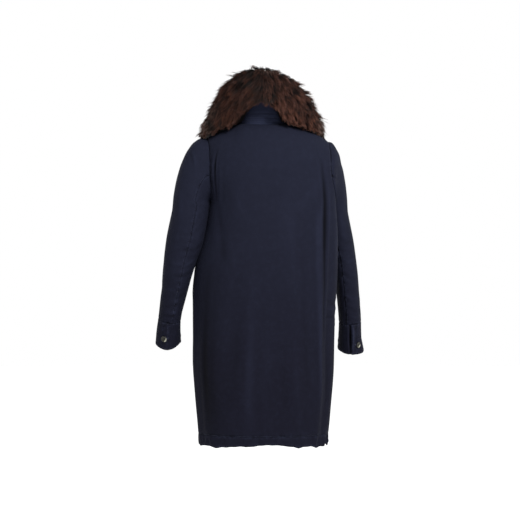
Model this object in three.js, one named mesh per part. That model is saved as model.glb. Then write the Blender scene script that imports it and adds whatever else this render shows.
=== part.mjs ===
// A knee-length cotton parka with a fur collar, hollow, in the shape it has when worn.
// Millimetres, +Z up. The origin is the centre of the neck seam. The back of the coat
// faces -Y, its front faces +Y, and the wearer's right arm is on the +X side.
// Angles round the body are in degrees from centre back, positive towards +X.
import * as THREE from "three";
import { mergeVertices } from "three/addons/utils/BufferGeometryUtils.js";

// Cloth and seams
const WALL = 2.4;
const SEAM_GAP = 0.3;
const SEAM_EASE = 0.2;
const SLEEVE_EASE = 0.7;
const EDGE_MARGIN = 0.2;

// Body
const BACK_LENGTH = 950;
const HEM_CHANNEL = 33;
const UNDERARM_Z = -235;
const BLADE_Z = -150;
const ROUNDNESS = 2.35;
const FRONT_LAP = 32;
const LAP_DEPTH = WALL + 1.3;

// Neck
const NECK_HALF_WIDTH = 78;
const NECK_BACK = 62;
const NECK_FRONT = 70;
const NECK_SIDE_RISE = 6;
const NECK_FRONT_DROP = 70;
const STAND_HEIGHT = 74;
const STAND_LEAN = 7;
const STAND_OPEN_ANGLE = 9;
const STAND_EASE = 0.8;

// Buttons
const CUFF_BUTTON_RADIUS = 9;
const FRONT_BUTTON_RADIUS = 12;
const BUTTON_THICKNESS = 3.6;
const BUTTON_SIDES = 14;
const FRONT_BUTTON_LEVELS = [-180, -310, -440, -570, -700];
const FRONT_BUTTON_ANGLE = 180;

// Rows of the body from the hem up. left, right, back and front are half sizes,
// wideY is where the right side is widest, pinch is the roundness of the right front,
// which the forward arm presses in, and the two seam columns are the side seams.
const HEM_Z = -BACK_LENGTH - 4;
const BODY = [
  { z: HEM_Z, left: 192, right: 191, back: 140, front: 148, wideY: 0, pinch: 2.3, leftSeam: 90, rightSeam: 92 },
  { z: -880, left: 198, right: 197, back: 146, front: 154, wideY: 0, pinch: 2.3, leftSeam: 90, rightSeam: 92 },
  { z: -800, left: 205, right: 205, back: 150, front: 158, wideY: 0, pinch: 2.3, leftSeam: 90, rightSeam: 92 },
  { z: -700, left: 210, right: 210, back: 152, front: 160, wideY: -2, pinch: 2.3, leftSeam: 90, rightSeam: 93 },
  { z: -560, left: 211, right: 213, back: 151, front: 160, wideY: -8, pinch: 2.2, leftSeam: 90, rightSeam: 95 },
  { z: -470, left: 211, right: 218, back: 149, front: 158, wideY: -16, pinch: 2.0, leftSeam: 90, rightSeam: 98 },
  { z: -400, left: 196, right: 221, back: 146, front: 156, wideY: -28, pinch: 1.85, leftSeam: 90, rightSeam: 102 },
  { z: -330, left: 175, right: 221, back: 142, front: 152, wideY: -44, pinch: 1.6, leftSeam: 90, rightSeam: 106 },
  { z: UNDERARM_Z, left: 158, right: 214, back: 137, front: 146, wideY: -60, pinch: 1.5, leftSeam: 90, rightSeam: 110 },
  { z: BLADE_Z, left: 170, right: 216, back: 133, front: 138, wideY: -34, pinch: 1.7, leftSeam: 90, rightSeam: 108 },
];

// The armhole's two edges, as angles round the body, from the underarm up
const ARMHOLE = {
  left: [
    { z: UNDERARM_Z, backEdge: 90, frontEdge: 90 },
    { z: -230, backEdge: 83, frontEdge: 97 },
    { z: -216, backEdge: 76, frontEdge: 104 },
    { z: -190, backEdge: 70, frontEdge: 110 },
    { z: BLADE_Z, backEdge: 66, frontEdge: 114 },
  ],
  right: [
    { z: UNDERARM_Z, backEdge: 110, frontEdge: 110 },
    { z: -230, backEdge: 99, frontEdge: 114 },
    { z: -216, backEdge: 87, frontEdge: 116 },
    { z: -190, backEdge: 75, frontEdge: 116 },
    { z: BLADE_Z, backEdge: 66, frontEdge: 114 },
  ],
};
const SHOULDER_TURNS = [76, 60, 44, 28, 13, 0];
const SHOULDER_SHARE = 0.58;
const SHOULDER_TIP = {
  left: new THREE.Vector3(-168, 0, -37),
  right: new THREE.Vector3(191, 4, -46),
};
const SHOULDER_CROWN = 4;

// Soft folds of the body: where each one runs, how wide it is and how far it rises
const FOLDS = [
  { angle: 50, top: -330, bottom: -930, width: 5.5, rise: 6.5 },
  { angle: 60, top: -300, bottom: -940, width: 5.5, rise: -6 },
  { angle: 77, top: -420, bottom: -900, width: 6, rise: 3 },
  { angle: -66, top: -420, bottom: -940, width: 6, rise: -4.5 },
  { angle: -77, top: -440, bottom: -930, width: 5, rise: 3 },
  { angle: -28, top: -520, bottom: -940, width: 9, rise: 2.5 },
  { angle: 14, top: -560, bottom: -930, width: 10, rise: -2.5 },
  { angle: 128, top: -380, bottom: -930, width: 6, rise: 5 },
  { angle: 142, top: -300, bottom: -900, width: 6, rise: -4 },
  { angle: -126, top: -330, bottom: -930, width: 6, rise: 5 },
  { angle: -140, top: -420, bottom: -940, width: 6, rise: -4 },
];
const FOLD_FADE = 130;

// Gathers along the hem's cord channel: waves round the coat, their depth, and the
// rise and fall of the lower edge
const HEM_GATHERS = [
  { waves: 23, phase: 0.4, depth: 1.9 },
  { waves: 37, phase: 2.1, depth: 1.1 },
];
const HEM_EDGE = [
  { waves: 5, phase: 1.2, rise: 2.6 },
  { waves: 11, phase: 0.3, rise: 1.8 },
];
const HEM_BACK_LIFT = 6;

// Sleeve rows from below the armhole to the cuff's edge
const SLEEVE = {
  left: [
    { z: -262, x: -222, y: -20, halfWidth: 51, halfDepth: 66 },
    { z: -330, x: -235.5, y: -27, halfWidth: 51, halfDepth: 63 },
    { z: -399, x: -250, y: -29, halfWidth: 46.5, halfDepth: 60 },
    { z: -475, x: -264, y: -22, halfWidth: 40, halfDepth: 55 },
    { z: -530, x: -274, y: -11, halfWidth: 36, halfDepth: 51 },
    { z: -580, x: -282, y: 1, halfWidth: 33, halfDepth: 48 },
    { z: -613, x: -285, y: 9, halfWidth: 35, halfDepth: 47 },
    { z: -657, x: -286.5, y: 21, halfWidth: 38, halfDepth: 47 },
  ],
  right: [
    { z: -262, x: 218, y: 73, halfWidth: 39, halfDepth: 61 },
    { z: -336, x: 233, y: 84, halfWidth: 38, halfDepth: 59 },
    { z: -432, x: 249.5, y: 89, halfWidth: 36, halfDepth: 56 },
    { z: -495, x: 256, y: 93, halfWidth: 35, halfDepth: 53 },
    { z: -540, x: 260.5, y: 100, halfWidth: 34, halfDepth: 50 },
    { z: -590, x: 264, y: 109, halfWidth: 33, halfDepth: 48 },
    { z: -622, x: 264.5, y: 116, halfWidth: 34, halfDepth: 47 },
    { z: -674, x: 264.5, y: 129, halfWidth: 37, halfDepth: 47 },
  ],
};
const SLEEVE_HEAD = {
  left: { puff: 54, lift: 26, hang: 96, underPuff: 11, underHang: 10 },
  right: { puff: 31, lift: 14, hang: 80, underPuff: 20, underHang: 12 },
};
const HEAD_STEPS = 7;
const ARM_STEPS = 12;
const UNDER_SLEEVE = { first: 6, last: 14 };
const CUFF_TOP_Z = { left: -580, right: -590 };

// Crosswise wrinkles of the sleeves: height, where round the arm, reach and rise
const SLEEVE_WRINKLES = [
  { z: -345, angle: 262, spread: 60, height: 16, rise: 3.5 },
  { z: -395, angle: 255, spread: 55, height: 13, rise: -3 },
  { z: -440, angle: 268, spread: 60, height: 14, rise: 3 },
  { z: -500, angle: 280, spread: 60, height: 15, rise: -2.5 },
  { z: -380, angle: 95, spread: 60, height: 14, rise: 3 },
  { z: -425, angle: 90, spread: 60, height: 14, rise: -3 },
];

// Cuffs: the over end starts at lap, the under end runs on beneath it
const CUFF = {
  left: { lap: 268, underlap: 26, buttonAngle: 285, buttonZ: -625 },
  right: { lap: 275, underlap: 26, buttonAngle: 305, buttonZ: -650 },
};
const CUFF_COLUMNS = 26;
const CUFF_LAP_RISE = WALL + 0.6;
const CUFF_LAP_SPAN = 60;

// Fur collar rows by angle from centre back. reach and crest are distances out from
// the neck seam, low is the level of the hair's lower edge and top that of the roll.
const FUR = {
  left: [
    { angle: 0, reach: 52, low: 68, top: 178, crest: 14 },
    { angle: 20, reach: 52, low: 52, top: 174, crest: 14 },
    { angle: 33, reach: 52, low: 27, top: 169, crest: 14 },
    { angle: 43, reach: 54, low: 4, top: 166, crest: 14 },
    { angle: 56, reach: 63, low: -7, top: 161, crest: 14 },
    { angle: 71, reach: 85, low: -20, top: 153, crest: 12 },
    { angle: 86, reach: 112, low: -32, top: 146, crest: 8 },
    { angle: 100, reach: 112, low: -36, top: 134, crest: 8 },
    { angle: 120, reach: 94, low: -46, top: 108, crest: 10 },
    { angle: 145, reach: 76, low: -68, top: 66, crest: 12 },
    { angle: 168, reach: 60, low: -84, top: 30, crest: 12 },
  ],
  right: [
    { angle: 0, reach: 52, low: 68, top: 178, crest: 14 },
    { angle: 14, reach: 52, low: 56, top: 172, crest: 14 },
    { angle: 22, reach: 52, low: 34, top: 168, crest: 14 },
    { angle: 30, reach: 52, low: 11, top: 163, crest: 14 },
    { angle: 48, reach: 57, low: 0, top: 151, crest: 14 },
    { angle: 71, reach: 83, low: -14, top: 143, crest: 12 },
    { angle: 86, reach: 106, low: -28, top: 137, crest: 8 },
    { angle: 100, reach: 108, low: -36, top: 128, crest: 8 },
    { angle: 120, reach: 94, low: -46, top: 104, crest: 10 },
    { angle: 145, reach: 76, low: -68, top: 66, crest: 12 },
    { angle: 168, reach: 60, low: -84, top: 30, crest: 12 },
  ],
};
const FUR_STEPS = 18;
const FUR_FALL_STEPS = 7;
const FUR_SLOPE_POWER = 1.45;
const FUR_INNER_DROP = 38;
const FUR_INNER_LEAN = -5;
const FUR_SEAT = 4;
const FUR_SEAT_SPREAD = 12;
const FUR_UNDERSIDE = [1, 0.75, 0.5, 0.25];
const FUR_LIP = 12;
const FUR_LIP_DROP = 14;
const FUR_V_ANGLE = 45;
const STAND_CLEARANCE = 1.2;

// Finishes
const navyCloth = new THREE.MeshStandardMaterial({ color: 0x262a3b, roughness: 0.85, metalness: 0 });
const brownFur = new THREE.MeshStandardMaterial({ color: 0x3f261c, roughness: 0.95, metalness: 0 });
const darkHorn = new THREE.MeshStandardMaterial({ color: 0x1c1a14, roughness: 0.35, metalness: 0 });

const parka = new THREE.Group();
const radians = THREE.MathUtils.degToRad;

function addMesh(name, geometry, material) {
  const mesh = new THREE.Mesh(geometry, material.clone());
  mesh.name = name;
  parka.add(mesh);
}

// One column of a table at any value of its key, on a smooth curve through the rows
function between(table, key, name, at) {
  const rising = table[table.length - 1][key] > table[0][key];
  const rows = rising ? table : [...table].reverse();
  const last = rows.length - 1;
  const clamped = THREE.MathUtils.clamp(at, rows[0][key], rows[last][key]);
  let i = 0;
  while (i < last - 1 && clamped > rows[i + 1][key]) i += 1;
  const slope = (k) => {
    const a = rows[Math.max(k - 1, 0)];
    const b = rows[Math.min(k + 1, last)];
    return (b[name] - a[name]) / (b[key] - a[key]);
  };
  const span = rows[i + 1][key] - rows[i][key];
  const t = (clamped - rows[i][key]) / span;
  const t2 = t * t;
  const t3 = t2 * t;
  return (2 * t3 - 3 * t2 + 1) * rows[i][name]
    + (t3 - 2 * t2 + t) * span * slope(i)
    + (3 * t2 - 2 * t3) * rows[i + 1][name]
    + (t3 - t2) * span * slope(i + 1);
}

// A closed mesh from points and triangles, turned so that its faces point out
function closedGeometry(points, triangles) {
  let volume = 0;
  for (const [a, b, c] of triangles) {
    volume += points[a].dot(new THREE.Vector3().crossVectors(points[b], points[c]));
  }
  const index = triangles.flatMap(([a, b, c]) => (volume > 0 ? [a, b, c] : [a, c, b]));
  const geometry = new THREE.BufferGeometry();
  geometry.setFromPoints(points);
  geometry.setIndex(index);
  return geometry;
}

// Normals of a grid of points, outward where columns run anticlockwise and rows run up
function gridNormals(grid) {
  return grid.map((row, r) => row.map((_, c) => {
    const along = row[Math.min(c + 1, row.length - 1)].clone().sub(row[Math.max(c - 1, 0)]);
    const above = grid[Math.min(r + 1, grid.length - 1)][c];
    const below = grid[Math.max(r - 1, 0)][c];
    return along.cross(above.clone().sub(below)).normalize();
  }));
}

// A grid of points moved along its own normals
function movedOut(grid, distance) {
  const normals = gridNormals(grid);
  return grid.map((row, r) => row.map((point, c) => {
    const by = typeof distance === "function" ? distance(r, c) : distance;
    return point.clone().addScaledVector(normals[r][c], by);
  }));
}

// A sewn edge: the outermost row or column of points drawn in by half the seam gap,
// and by an ease for neighbours that meet at a slight angle
function trimmed(grid, edges, ease = SEAM_EASE) {
  const rows = grid.length;
  const columns = grid[0].length;
  const result = grid.map((row) => row.map((point) => point.clone()));
  const draw = (r, c, toR, toC) => {
    const inward = grid[toR][toC].clone().sub(grid[r][c]).setLength(SEAM_GAP / 2 + ease);
    result[r][c].add(inward);
  };
  for (let r = 0; r < rows; r += 1) {
    if (edges.includes("first")) draw(r, 0, r, 1);
    if (edges.includes("last")) draw(r, columns - 1, r, columns - 2);
  }
  for (let c = 0; c < columns; c += 1) {
    if (edges.includes("bottom")) draw(0, c, 1, c);
    if (edges.includes("top")) draw(rows - 1, c, rows - 2, c);
  }
  return result;
}

// A cloth wall between an outer and an inner grid of points
function wallBetween(outer, inner) {
  const rows = outer.length;
  const columns = outer[0].length;
  const points = [...outer.flat(), ...inner.flat()];
  const out = (r, c) => r * columns + c;
  const into = (r, c) => rows * columns + r * columns + c;
  const triangles = [];
  const quad = (a, b, c, d) => triangles.push([a, b, c], [a, c, d]);
  for (let r = 0; r < rows - 1; r += 1) {
    for (let c = 0; c < columns - 1; c += 1) {
      quad(out(r, c), out(r, c + 1), out(r + 1, c + 1), out(r + 1, c));
      quad(into(r, c), into(r + 1, c), into(r + 1, c + 1), into(r, c + 1));
    }
    quad(out(r, 0), out(r + 1, 0), into(r + 1, 0), into(r, 0));
    quad(out(r + 1, columns - 1), out(r, columns - 1), into(r, columns - 1), into(r + 1, columns - 1));
  }
  for (let c = 0; c < columns - 1; c += 1) {
    quad(out(0, c + 1), out(0, c), into(0, c), into(0, c + 1));
    quad(out(rows - 1, c), out(rows - 1, c + 1), into(rows - 1, c + 1), into(rows - 1, c));
  }
  return closedGeometry(points, triangles);
}

// A cloth wall round a grid of points, half its thickness to each side
function clothWall(grid) {
  return wallBetween(movedOut(grid, WALL / 2), movedOut(grid, -WALL / 2));
}

// The body's section

function powered(value, power) {
  return Math.sign(value) * Math.abs(value) ** power;
}

function foldRise(angle, z) {
  const wrapped = ((angle + 540) % 360) - 180;
  let rise = 0;
  for (const fold of FOLDS) {
    const across = Math.exp(-(((wrapped - fold.angle) / fold.width) ** 2));
    const fadeIn = THREE.MathUtils.smoothstep(fold.top - z, 0, FOLD_FADE);
    const fadeOut = THREE.MathUtils.smoothstep(z - fold.bottom, -FOLD_FADE / 3, FOLD_FADE / 3);
    rise += fold.rise * across * fadeIn * fadeOut;
  }
  return rise;
}

function bodyPoint(angle, z) {
  const size = (name) => between(BODY, "z", name, z);
  const across = Math.sin(radians(angle));
  const fore = -Math.cos(radians(angle));
  const onRight = across >= 0;
  const pinched = onRight && fore > 0;
  const power = 2 / (pinched ? size("pinch") : ROUNDNESS);
  const sideY = onRight ? size("wideY") : 0;
  const halfWidth = onRight ? size("right") : size("left");
  const depth = fore > 0 ? size("front") - sideY : size("back") + sideY;
  const point = new THREE.Vector3(
    halfWidth * powered(across, power),
    sideY + depth * powered(fore, power),
    z,
  );
  const rise = foldRise(angle, z);
  return point.add(new THREE.Vector3(across * rise, fore * rise, 0));
}

// The neck seam, and the shoulder line from the armhole (0) to the centre (1)

function neckPoint(angle) {
  const across = Math.sin(radians(angle));
  const fore = -Math.cos(radians(angle));
  const depth = fore > 0 ? NECK_FRONT : NECK_BACK;
  const drop = fore > 0 ? (NECK_FRONT_DROP + NECK_SIDE_RISE) * fore ** 2 : NECK_SIDE_RISE * fore ** 2;
  return new THREE.Vector3(NECK_HALF_WIDTH * across, depth * fore, NECK_SIDE_RISE - drop);
}

function topPoint(side, share, face) {
  const sign = side === "left" ? -1 : 1;
  const neckSide = neckPoint(sign * 90);
  if (share < SHOULDER_SHARE) {
    const t = share / SHOULDER_SHARE;
    const point = SHOULDER_TIP[side].clone().lerp(neckSide, t);
    point.z += SHOULDER_CROWN * Math.sin(Math.PI * t);
    return point;
  }
  const t = (share - SHOULDER_SHARE) / (1 - SHOULDER_SHARE);
  return neckPoint(THREE.MathUtils.lerp(sign * 90, face === "back" ? 0 : sign * 180, t));
}

// Levels of the panels from the top of the hem channel up to the shoulder line
const PANEL_FOOT = HEM_Z + HEM_CHANNEL;
const LOWER_STEPS = 11;
const LEVELS = [];
for (let i = 0; i < LOWER_STEPS; i += 1) {
  LEVELS.push({ z: THREE.MathUtils.lerp(PANEL_FOOT, UNDERARM_Z, i / LOWER_STEPS) });
}
for (const row of ARMHOLE.left) LEVELS.push({ z: row.z });
for (const turn of SHOULDER_TURNS) LEVELS.push({ z: BLADE_Z, turn });
const UNDERARM_LEVEL = LOWER_STEPS;

function edgeAngle(side, face, z) {
  if (z < UNDERARM_Z) return between(BODY, "z", `${side}Seam`, z);
  return between(ARMHOLE[side], "z", `${face}Edge`, z);
}

// A point of a panel at a level, from its side edge (share 0) to the centre (share 1)
// and, on the fronts, past it. Over the shoulder it swings from the shoulder line down
// to the level of the shoulder blades.
function panelPoint(side, face, level, share) {
  const sign = side === "left" ? -1 : 1;
  const edge = sign * edgeAngle(side, face, level.z);
  const centre = face === "back" ? 0 : sign * 180;
  const point = bodyPoint(THREE.MathUtils.lerp(edge, centre, share), level.z);
  if (level.turn === undefined) return point;
  const top = topPoint(side, share, face);
  const swing = Math.sin(radians(level.turn));
  const drop = 1 - Math.cos(radians(level.turn));
  return new THREE.Vector3(
    THREE.MathUtils.lerp(top.x, point.x, swing),
    THREE.MathUtils.lerp(top.y, point.y, swing),
    THREE.MathUtils.lerp(top.z, point.z, drop),
  );
}

const BACK_COLUMNS = 17;
const backGrid = LEVELS.map((level) => {
  const row = [];
  for (let c = 0; c <= BACK_COLUMNS; c += 1) {
    row.push(panelPoint("left", "back", level, c / BACK_COLUMNS));
  }
  for (let c = BACK_COLUMNS - 1; c >= 0; c -= 1) {
    row.push(panelPoint("right", "back", level, c / BACK_COLUMNS));
  }
  return row;
});

// How far past centre front a panel turns so that it laps by FRONT_LAP
function lapAngle(z) {
  const halfWidth = between(BODY, "z", "left", z);
  return THREE.MathUtils.radToDeg(Math.asin((FRONT_LAP / halfWidth) ** (ROUNDNESS / 2)));
}

const FRONT_COLUMNS = 17;
function frontGrid(side) {
  return LEVELS.map((level) => {
    const lapShare = lapAngle(level.z) / (180 - edgeAngle(side, "front", level.z));
    const row = [];
    for (let c = 0; c <= FRONT_COLUMNS; c += 1) {
      row.push(panelPoint(side, "front", level, (1 + lapShare) * (c / FRONT_COLUMNS)));
    }
    return side === "left" ? row.reverse() : row;
  });
}
const rightFrontGrid = frontGrid("right");
const leftFrontPlain = frontGrid("left");

// The left front dips under the right one near the centre
const LAP_FADE_COLUMNS = 4;
const LAP_COLUMNS = 5;
function underlapDepth(column) {
  return -LAP_DEPTH * (1 - THREE.MathUtils.smoothstep(column - LAP_COLUMNS, 0, LAP_FADE_COLUMNS));
}
const leftFrontGrid = movedOut(leftFrontPlain, (r, c) => underlapDepth(c));

addMesh("back", clothWall(trimmed(backGrid, ["first", "last", "top", "bottom"])), navyCloth);
addMesh("front_right", clothWall(trimmed(rightFrontGrid, ["first", "top", "bottom"])), navyCloth);
addMesh("front_left", clothWall(trimmed(leftFrontGrid, ["last", "top", "bottom"])), navyCloth);

// Hem channel, gathered on its cord

function waveSum(waves, angle, name) {
  return waves.reduce((sum, w) => sum + w[name] * Math.sin(w.waves * radians(angle) + w.phase), 0);
}

const HEM_ROWS = 3;
function hemGrid(fromAngle, toAngle, columns) {
  const grid = [];
  for (let r = 0; r <= HEM_ROWS; r += 1) {
    const row = [];
    for (let c = 0; c <= columns; c += 1) {
      const angle = THREE.MathUtils.lerp(fromAngle, toAngle, c / columns);
      const down = 1 - r / HEM_ROWS;
      const backness = Math.max(Math.cos(radians(angle)), 0);
      const edge = HEM_Z + waveSum(HEM_EDGE, angle, "rise") + HEM_BACK_LIFT * backness ** 2;
      const point = bodyPoint(angle, PANEL_FOOT - HEM_CHANNEL * down);
      point.z = THREE.MathUtils.lerp(PANEL_FOOT - EDGE_MARGIN, edge, down);
      const out = waveSum(HEM_GATHERS, angle, "depth") * Math.sin(Math.PI * down * 0.75);
      const across = Math.sin(radians(angle));
      const fore = -Math.cos(radians(angle));
      row.push(point.add(new THREE.Vector3(across * out, fore * out, 0)));
    }
    grid.push(row);
  }
  return grid;
}

const HEM_BACK_COLUMNS = 56;
const HEM_FRONT_COLUMNS = 32;
const hemLeftSeam = between(BODY, "z", "leftSeam", HEM_Z);
const hemRightSeam = between(BODY, "z", "rightSeam", HEM_Z);
const hemLap = lapAngle(PANEL_FOOT);
const hemBack = hemGrid(-hemLeftSeam, hemRightSeam, HEM_BACK_COLUMNS);
const hemRight = hemGrid(hemRightSeam, 180 + hemLap, HEM_FRONT_COLUMNS);
const hemLeftPlain = hemGrid(-180 - hemLap, -hemLeftSeam, HEM_FRONT_COLUMNS);
const hemColumnRatio = HEM_FRONT_COLUMNS / FRONT_COLUMNS;
const hemLeft = movedOut(hemLeftPlain, (r, c) => underlapDepth(c / hemColumnRatio));
addMesh("hem_back", clothWall(trimmed(hemBack, ["first", "last", "top"])), navyCloth);
addMesh("hem_front_right", clothWall(trimmed(hemRight, ["first", "top"])), navyCloth);
addMesh("hem_front_left", clothWall(trimmed(hemLeft, ["last", "top"])), navyCloth);

// Collar stand, a band that rises from the neck seam and leans in

const STAND_COLUMNS = 26;
const STAND_ROWS = 3;
const standInset = WALL / 2 + SEAM_GAP + STAND_EASE;
const standGrid = [];
for (let r = 0; r <= STAND_ROWS; r += 1) {
  const row = [];
  for (let c = 0; c <= STAND_COLUMNS; c += 1) {
    const angle = THREE.MathUtils.lerp(STAND_OPEN_ANGLE - 180, 180 - STAND_OPEN_ANGLE, c / STAND_COLUMNS);
    const up = r / STAND_ROWS;
    const base = neckPoint(angle);
    const inward = new THREE.Vector3(-base.x, -base.y, 0).setLength(standInset + STAND_LEAN * up);
    row.push(base.add(inward).add(new THREE.Vector3(0, 0, STAND_HEIGHT * up - WALL / 2)));
  }
  standGrid.push(row);
}
addMesh("collar_stand", clothWall(standGrid), navyCloth);

// Sleeves

function sleeveRow(side, z) {
  const size = (name) => between(SLEEVE[side], "z", name, z);
  const step = 6;
  const above = Math.min(z + step, SLEEVE[side][0].z);
  const below = Math.max(z - step, SLEEVE[side][SLEEVE[side].length - 1].z);
  const centreAt = (level) => new THREE.Vector3(
    between(SLEEVE[side], "z", "x", level),
    between(SLEEVE[side], "z", "y", level),
    level,
  );
  const axis = centreAt(below).sub(centreAt(above)).normalize();
  const outward = new THREE.Vector3(side === "left" ? -1 : 1, 0, 0);
  outward.addScaledVector(axis, -outward.dot(axis)).normalize();
  const forward = new THREE.Vector3(0, 1, 0);
  forward.addScaledVector(axis, -forward.dot(axis)).addScaledVector(outward, -forward.dot(outward)).normalize();
  return { centre: centreAt(z), outward, forward, halfWidth: size("halfWidth"), halfDepth: size("halfDepth") };
}

function wrinkleRise(angle, z) {
  let rise = 0;
  for (const wrinkle of SLEEVE_WRINKLES) {
    const turn = Math.abs(((angle - wrinkle.angle + 540) % 360) - 180);
    const round = Math.exp(-((turn / wrinkle.spread) ** 2));
    const along = Math.exp(-(((z - wrinkle.z) / wrinkle.height) ** 2));
    rise += wrinkle.rise * round * along;
  }
  return rise;
}

// Angle round the arm: 0 on its outer side, 90 in front, 180 inside, 270 at the back
function sleevePoint(side, angle, z, extra = 0) {
  const row = sleeveRow(side, z);
  const grow = wrinkleRise(angle, z) + extra;
  return row.centre
    .addScaledVector(row.outward, (row.halfWidth + grow) * Math.cos(radians(angle)))
    .addScaledVector(row.forward, (row.halfDepth + grow) * Math.sin(radians(angle)));
}

// The armhole as a loop of panel edge points: shoulder tip, front edge, underarm, back
function armholeLoop(side) {
  const backColumn = side === "left" ? 0 : backGrid[0].length - 1;
  const front = side === "left" ? leftFrontPlain : rightFrontGrid;
  const frontColumn = side === "left" ? front[0].length - 1 : 0;
  const backNormals = gridNormals(backGrid);
  const frontNormals = gridNormals(front);
  const top = LEVELS.length - 1;
  const loop = [];
  for (let r = top; r >= UNDERARM_LEVEL; r -= 1) {
    loop.push({ point: front[r][frontColumn], normal: frontNormals[r][frontColumn] });
  }
  for (let r = UNDERARM_LEVEL + 1; r < top; r += 1) {
    loop.push({ point: backGrid[r][backColumn], normal: backNormals[r][backColumn] });
  }
  return loop;
}

const SLEEVE_BOTTOM_GAP = SEAM_GAP + EDGE_MARGIN;
function sleeveGrid(side) {
  const loop = armholeLoop(side);
  const head = SLEEVE_HEAD[side];
  const sign = side === "left" ? -1 : 1;
  const firstZ = SLEEVE[side][0].z;
  const middle = new THREE.Vector3();
  for (const { point } of loop) middle.addScaledVector(point, 1 / loop.length);
  const rows = [];
  const lines = loop.map(({ point, normal }, i) => {
    const angle = (360 * i) / loop.length;
    const share = (1 + Math.cos(radians(angle))) / 2;
    const before = loop[(i + loop.length - 1) % loop.length].point;
    const after = loop[(i + 1) % loop.length].point;
    const tangent = after.clone().sub(before).normalize();
    const beyond = middle.clone().sub(point);
    beyond.addScaledVector(tangent, -beyond.dot(tangent));
    beyond.addScaledVector(normal, -beyond.dot(normal)).normalize();
    const end = sleevePoint(side, angle, firstZ);
    const leave = new THREE.Vector3(sign * head.puff * share, 0, head.lift * share);
    leave.addScaledVector(normal, head.underPuff * (1 - share));
    const leaveDirection = leave.clone().normalize();
    const corner = Math.sqrt(Math.max(1 - Math.max(leaveDirection.dot(beyond), 0) ** 2, 0));
    const start = point.clone().addScaledVector(beyond, SEAM_GAP + SLEEVE_EASE + (WALL / 2) * corner);
    const hang = THREE.MathUtils.lerp(head.underHang, head.hang, share);
    return new THREE.CubicBezierCurve3(
      start,
      start.clone().add(leave),
      end.clone().add(new THREE.Vector3(0, 0, hang)),
      end,
    );
  });
  for (let r = 0; r <= HEAD_STEPS; r += 1) {
    rows.push(lines.map((line) => line.getPoint(r / HEAD_STEPS)));
  }
  const lastZ = CUFF_TOP_Z[side] + SLEEVE_BOTTOM_GAP;
  for (let r = 1; r <= ARM_STEPS; r += 1) {
    const z = THREE.MathUtils.lerp(firstZ, lastZ, r / ARM_STEPS);
    rows.push(loop.map((_, i) => sleevePoint(side, (360 * i) / loop.length, z)));
  }
  return rows;
}

// The columns of a sleeve from one seam to the other, round the arm
function sleeveStrip(grid, first, last) {
  const count = grid[0].length;
  return grid.map((row) => {
    const strip = [];
    for (let c = first; c <= last; c += 1) strip.push(row[c % count].clone());
    return strip;
  });
}

// A closed sleeve moved out or in: its first column is repeated on both sides, so that
// the normals of the two pieces agree at their seams
function sleeveSkin(grid, distance) {
  const count = grid[0].length;
  const wrapped = sleeveStrip(grid, count - 1, 2 * count + 1);
  return movedOut(wrapped, distance).map((row) => row.slice(1, count + 1));
}

const sleeveGrids = {};
for (const side of ["left", "right"]) {
  const grid = sleeveGrid(side);
  const count = grid[0].length;
  const skins = [sleeveSkin(grid, WALL / 2), sleeveSkin(grid, -WALL / 2)];
  const piece = (first, last) => {
    const strips = skins.map((skin) => sleeveStrip(skin, first, last));
    const [one, other] = strips.map((strip) => trimmed(strip, ["first", "last"], SLEEVE_EASE));
    return wallBetween(one, other);
  };
  addMesh(`sleeve_${side}_upper`, piece(UNDER_SLEEVE.last, UNDER_SLEEVE.first + count), navyCloth);
  addMesh(`sleeve_${side}_under`, piece(UNDER_SLEEVE.first, UNDER_SLEEVE.last), navyCloth);
  sleeveGrids[side] = grid;
}

// Buttons: a dished disc with a raised rim, its back on the cloth

function buttonGeometry(radius) {
  const t = BUTTON_THICKNESS;
  const profile = [
    [0, 0], [radius * 0.86, 0], [radius, t * 0.5], [radius * 0.9, t], [radius * 0.66, t * 0.6],
    [0, t * 0.55],
  ].map(([x, y]) => new THREE.Vector2(x, y));
  const geometry = new THREE.LatheGeometry(profile, BUTTON_SIDES);
  geometry.deleteAttribute("normal");
  geometry.deleteAttribute("uv");
  return geometry.rotateX(Math.PI / 2);
}

// A button's mesh lies at its seat, its face along the outward direction
function addButton(name, radius, seat, outward) {
  const turn = new THREE.Quaternion().setFromUnitVectors(new THREE.Vector3(0, 0, 1), outward);
  const geometry = mergeVertices(buttonGeometry(radius));
  geometry.applyQuaternion(turn);
  geometry.translate(seat.x, seat.y, seat.z);
  addMesh(name, geometry, darkHorn);
}

// Cuffs: a band that starts on top at the lap, runs round and ends beneath it

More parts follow.
